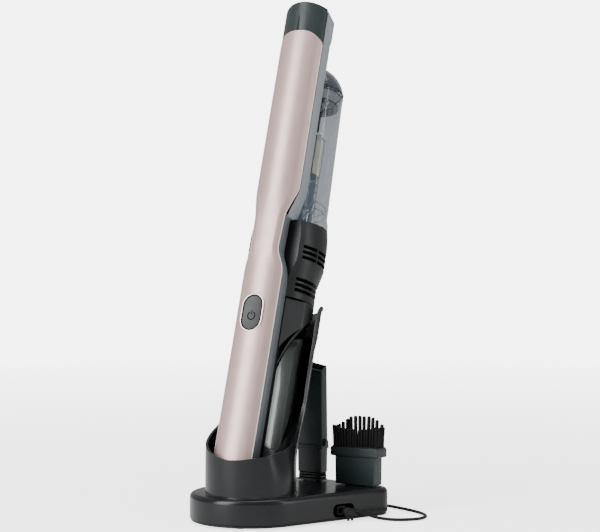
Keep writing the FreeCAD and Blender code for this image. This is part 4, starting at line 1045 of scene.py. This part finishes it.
def build_brush():
    bore = (5.0, 18.6, 1.0)
    neck = hollow([(27.7, 6.9, 21.0, 0.8), (28.3, 7.2, 21.4, 0.9), (54.0, 7.3, 21.8, 0.9)],
                  [(27.7, *bore), (28.5, *bore), (54.0, *bore)])
    piece("brush_neck", neck, BRUSH, "slate", "brush", ["brush_tool"], bevel=0.35, smooth=34.0)
    head = hollow([(54.0, 8.3, 25.4, 1.0), (55.0, 8.9, 26.2, 1.2), (62.4, 8.9, 26.2, 1.2)],
                  [(54.0, *bore), (55.0, *bore), (62.4, *bore)])
    piece("brush_flange", head, BRUSH, "slate", "brush", bevel=0.35, smooth=34.0)
    bed = slab(61.6, 63.4, (8.1, 25.3, 1.2), (4.6, 18.4, 0.84))
    piece("brush_bed", bed, BRUSH, "black_satin", "brush", bevel=0.2)
    dice = random.Random(7)
    bm = bmesh.new()
    # (x, y, height, radius); the front row is shorter, so light shows between the tufts behind it
    places = [(-6.6, -22.6 + 3.0 * index, 17.2, 1.5) for index in range(16)]
    places += [(6.4, -20.7 + 4.6 * index, 29.2, 1.85) for index in range(10)]
    for y in (-23.5, 23.5):
        places += [(x, y, 29.2, 1.5) for x in (-4.8, -1.6, 1.6, 4.8)]
    for x, y, height, thick in places:
        x += dice.uniform(-0.15, 0.15)
        y += dice.uniform(-0.2, 0.2)
        fall = 10.0 if height > 20.0 else -4.4
        rise = height - fall * abs(y / 24.5) ** 2.6 + dice.uniform(-0.5, 0.4)
        lean_x = x * 0.04 + dice.uniform(-0.3, 0.3)
        lean_y = y * 0.04 + dice.uniform(-0.5, 0.5)
        rings = []
        for t, share in ((0.0, 1.0), (0.5, 1.0), (0.95, 1.0), (0.985, 0.8), (1.0, 0.35)):
            bend = t * t
            tip = circle(x + lean_x * bend, y + lean_y * bend, thick * share, 8)
            rings.append(level(tip, 62.6 + rise * t))
        bridge(bm, rings)
    piece("brush_tufts", bm, BRUSH, "bristle", "brush", ["brush_bristles"], smooth=70.0)


build_crevice()
build_brush()

# ---------------------------------------------------------------------- camera, light

VIEW_TURN = math.radians(-36.3)
DISTANCE = 1434.0
CAMERA_HEIGHT = 233.6
SIDE_STEP = 19.2
look = Vector((-math.sin(VIEW_TURN), math.cos(VIEW_TURN), 0.0))
right = Vector((math.cos(VIEW_TURN), math.sin(VIEW_TURN), 0.0))
camera_data = bpy.data.cameras.new("camera")
camera = in_scene("camera", camera_data)
camera.location = ORIGIN + (look * -DISTANCE + right * SIDE_STEP + Vector((0, 0, CAMERA_HEIGHT))) * MM
camera.rotation_euler = (math.radians(90.0), 0.0, VIEW_TURN)
camera_data.lens = 92.5
camera_data.sensor_width = 36.0
camera_data.clip_end = 20.0
bpy.context.scene.camera = camera


def area_light(name, where, width, height, power):
    data = bpy.data.lights.new(name, "AREA")
    data.shape = "RECTANGLE"
    data.size = width
    data.size_y = height
    data.energy = power
    lamp = in_scene(name, data)
    lamp.location = where
    lamp.rotation_euler = (LIGHT_AIM - where).to_track_quat("-Z", "Y").to_euler()


def camera_side(across, back, up):
    """A point given from the camera's side: metres to the right, away, and up."""
    return ORIGIN + right * across + look * back + Vector((0, 0, up))


LIGHT_AIM = camera_side(0.0, 0.0, 0.25)
area_light("key_left", camera_side(-1.0, -0.75, 0.75), 0.7, 1.5, 34.0)
area_light("fill_right", camera_side(1.1, -0.5, 0.55), 0.3, 1.3, 4.5)
area_light("top", camera_side(0.1, 0.1, 1.7), 1.2, 1.2, 14.0)

# the backdrop is bright to the camera alone, and lights the object as a dim surround
WHITE = (1.0, 1.0, 1.0, 1.0)
world = bpy.data.worlds.new("studio")
world.use_nodes = True
world_tree = world.node_tree
backdrop = world_tree.nodes["Background"]
set_inputs(backdrop, Color=WHITE, Strength=6.0)
surround = add_node(world_tree, "Background", Color=WHITE, Strength=0.5)
rays = add_node(world_tree, "LightPath")
choice = add_node(world_tree, "MixShader")
link(rays, "Is Camera Ray", choice, 0)
link(surround, 0, choice, 1)
link(backdrop, 0, choice, 2)
link(choice, 0, world_tree.nodes["World Output"], "Surface")
bpy.context.scene.world = world

floor_mesh = bpy.data.meshes.new("floor")
floor_bm = bmesh.new()
bmesh.ops.create_grid(floor_bm, x_segments=1, y_segments=1, size=6.0)
floor_bm.to_mesh(floor_mesh)
floor_bm.free()
floor = in_scene("floor", floor_mesh)
floor.location.z = -0.0002
floor_mat, floor_shader = new_material("pale_floor")
floor_tree = floor_mat.node_tree
set_inputs(floor_shader, Base_Color=(0.93, 0.93, 0.93, 1.0), Roughness=0.8, Emission_Color=WHITE)
# brighter to the eye with distance, so that the floor runs into the white backdrop
floor_coords = add_node(floor_tree, "TexCoord")
away = add_node(floor_tree, "VectorMath")
away.operation = "LENGTH"
fade = add_node(floor_tree, "MapRange", From_Min=0.3, From_Max=2.5, To_Min=2.2, To_Max=5.4)
floor_rays = add_node(floor_tree, "LightPath")
seen = add_node(floor_tree, "Math")
seen.operation = "MULTIPLY"
link(floor_coords, "Object", away, 0)
link(away, "Value", fade, "Value")
link(fade, "Result", seen, 0)
link(floor_rays, "Is Camera Ray", seen, 1)
link(seen, "Value", floor_shader, "Emission Strength")
floor_mesh.materials.append(floor_mat)

# ------------------------------------------------------------------------------ cord

CORD_D = 3.0
ROUTE = [(42.0, -61.6, 10.0), (50.0, -62.6, 7.6), (58.0, -68.0, 3.4), (66.5, -78.0, 1.7),
         (77.0, -88.0, 1.7), (92.0, -92.5, 1.7), (106.0, -86.5, 1.7), (114.5, -72.0, 1.7),
         (118.0, -51.0, 1.7), (119.0, -26.0, 1.7), (117.0, 0.0, 1.7), (113.2, 25.0, 1.7),
         (108.6, 45.0, 1.7), (103.6, 61.5, 1.7), (98.2, 77.4, 1.7)]
COIL_X, COIL_Y, COIL_RADIUS = 74.5, 81.0, 17.7
COIL_COLUMNS, COLUMN_PITCH, LAYER_PITCH = 4, 3.1, 3.05
COIL_START, COIL_TURNS, COIL_STEPS = 20.0, 14.19, 16
LEAD_END = (60.2, COIL_Y + 19.25, 10.9)


def coil_points():
    """Turns side by side from the outside in, then layer on layer, back and forth."""
    points = []
    for index in range(int(COIL_TURNS * COIL_STEPS) + 1):
        turn = index / COIL_STEPS
        layer, within = divmod(turn, COIL_COLUMNS)
        column, part = divmod(within, 1.0)
        shift = ease((part - 0.7) / 0.3)
        last = column == COIL_COLUMNS - 1
        side = column + (0.0 if last else shift)
        if layer % 2:
            side = COIL_COLUMNS - 1 - side
        radius = COIL_RADIUS + ((COIL_COLUMNS - 1) / 2.0 - side) * COLUMN_PITCH
        height = 1.7 + LAYER_PITCH * (layer + (shift if last else 0.0))
        angle = math.radians(COIL_START) + 2 * math.pi * turn
        points.append((COIL_X + radius * math.cos(angle), COIL_Y + radius * math.sin(angle), height))
    return points


def build_cord():
    curve = bpy.data.curves.new("power_cord", "CURVE")
    curve.dimensions = "3D"
    curve.bevel_depth = CORD_D / 2 * MM
    curve.bevel_resolution = 4
    curve.resolution_u = 8
    curve.use_fill_caps = True
    points = ROUTE + coil_points() + [(COIL_X - 6.0, LEAD_END[1], LEAD_END[2]), LEAD_END]
    spline = curve.splines.new("NURBS")
    spline.points.add(len(points) - 1)
    for target, point in zip(spline.points, points):
        target.co = (*(DOCK @ Vector(point)), 1.0)
    spline.order_u = 3
    spline.use_endpoint_u = True
    curve.materials.append(MATERIALS["cord"])
    return in_scene("power_cord", curve)


def turned(profile, start, direction):
    """A lathe-turned piece along a direction, in the dock frame, from (radius, distance) points."""
    bm = lathe(profile, 32)
    turn = Vector((0, 0, 1)).rotation_difference(Vector(direction)).to_matrix().to_4x4()
    bm.transform(Matrix.Translation(start) @ turn)
    return bm


def build_plug():
    pieces = []
    barrel = turned([(0.0, -4.5), (2.5, -4.5), (2.6, 1.4), (3.6, 1.7), (3.9, 2.4), (3.9, 7.6),
                     (3.2, 8.4), (0.0, 8.6)], (32.0, -56.0, 10.0), (0, -1, 0))
    pieces.append(piece("plug_barrel", barrel, DOCK, "cord", "dock", ["dc_plug"], smooth=50.0))
    elbow = turned([(0.0, -0.5), (3.3, -0.4), (3.4, 3.6), (3.0, 6.4), (2.7, 8.0), (0.0, 8.0)],
                   (30.4, -61.6, 10.0), (1, 0, 0))
    pieces.append(piece("plug_elbow", elbow, DOCK, "cord", "dock", smooth=50.0))
    profile = [(0.0, 0.0)]
    for index in range(4):
        at = 1.05 * index
        wide = 2.55 - 0.16 * index
        profile += [(wide, at), (wide, at + 0.6), (wide - 0.35, at + 0.7), (wide - 0.35, at + 1.0)]
    profile += [(1.6, 4.3), (0.0, 4.3)]
    relief = turned(profile, (38.0, -61.6, 10.0), (1, 0, 0))
    pieces.append(piece("plug_relief", relief, DOCK, "cord", "dock", smooth=50.0))
    for index, x in enumerate((31.2, 35.8)):
        prong = turned([(0.0, 0.0), (1.25, 0.0), (1.25, 6.6), (0.9, 7.4), (0.0, 7.5)],
                       (x, -61.0 + 0.2 * index, 8.6), (0.18, -0.25, -0.95))
        pieces.append(piece("plug_clip_%d" % index, prong, DOCK, "cord", "dock", smooth=50.0))
    return pieces


def build_adapter_lead():
    relief = turned([(0.0, 0.0), (2.9, 0.0), (2.9, 2.0), (2.2, 8.0), (1.7, 12.9), (0.0, 13.0)],
                    (47.2, LEAD_END[1], LEAD_END[2]), (1, 0, 0))
    return piece("adapter_lead", relief, DOCK, "cord", "dock", ["adapter_relief"], smooth=50.0)


cord = build_cord()
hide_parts("cord_tube", "cord_coil")
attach(cord, "dock")
on_cord = build_plug() + [build_adapter_lead(), frame["nodes"]["wall_adapter"],
                            frame["nodes"]["adapter_blades"]]
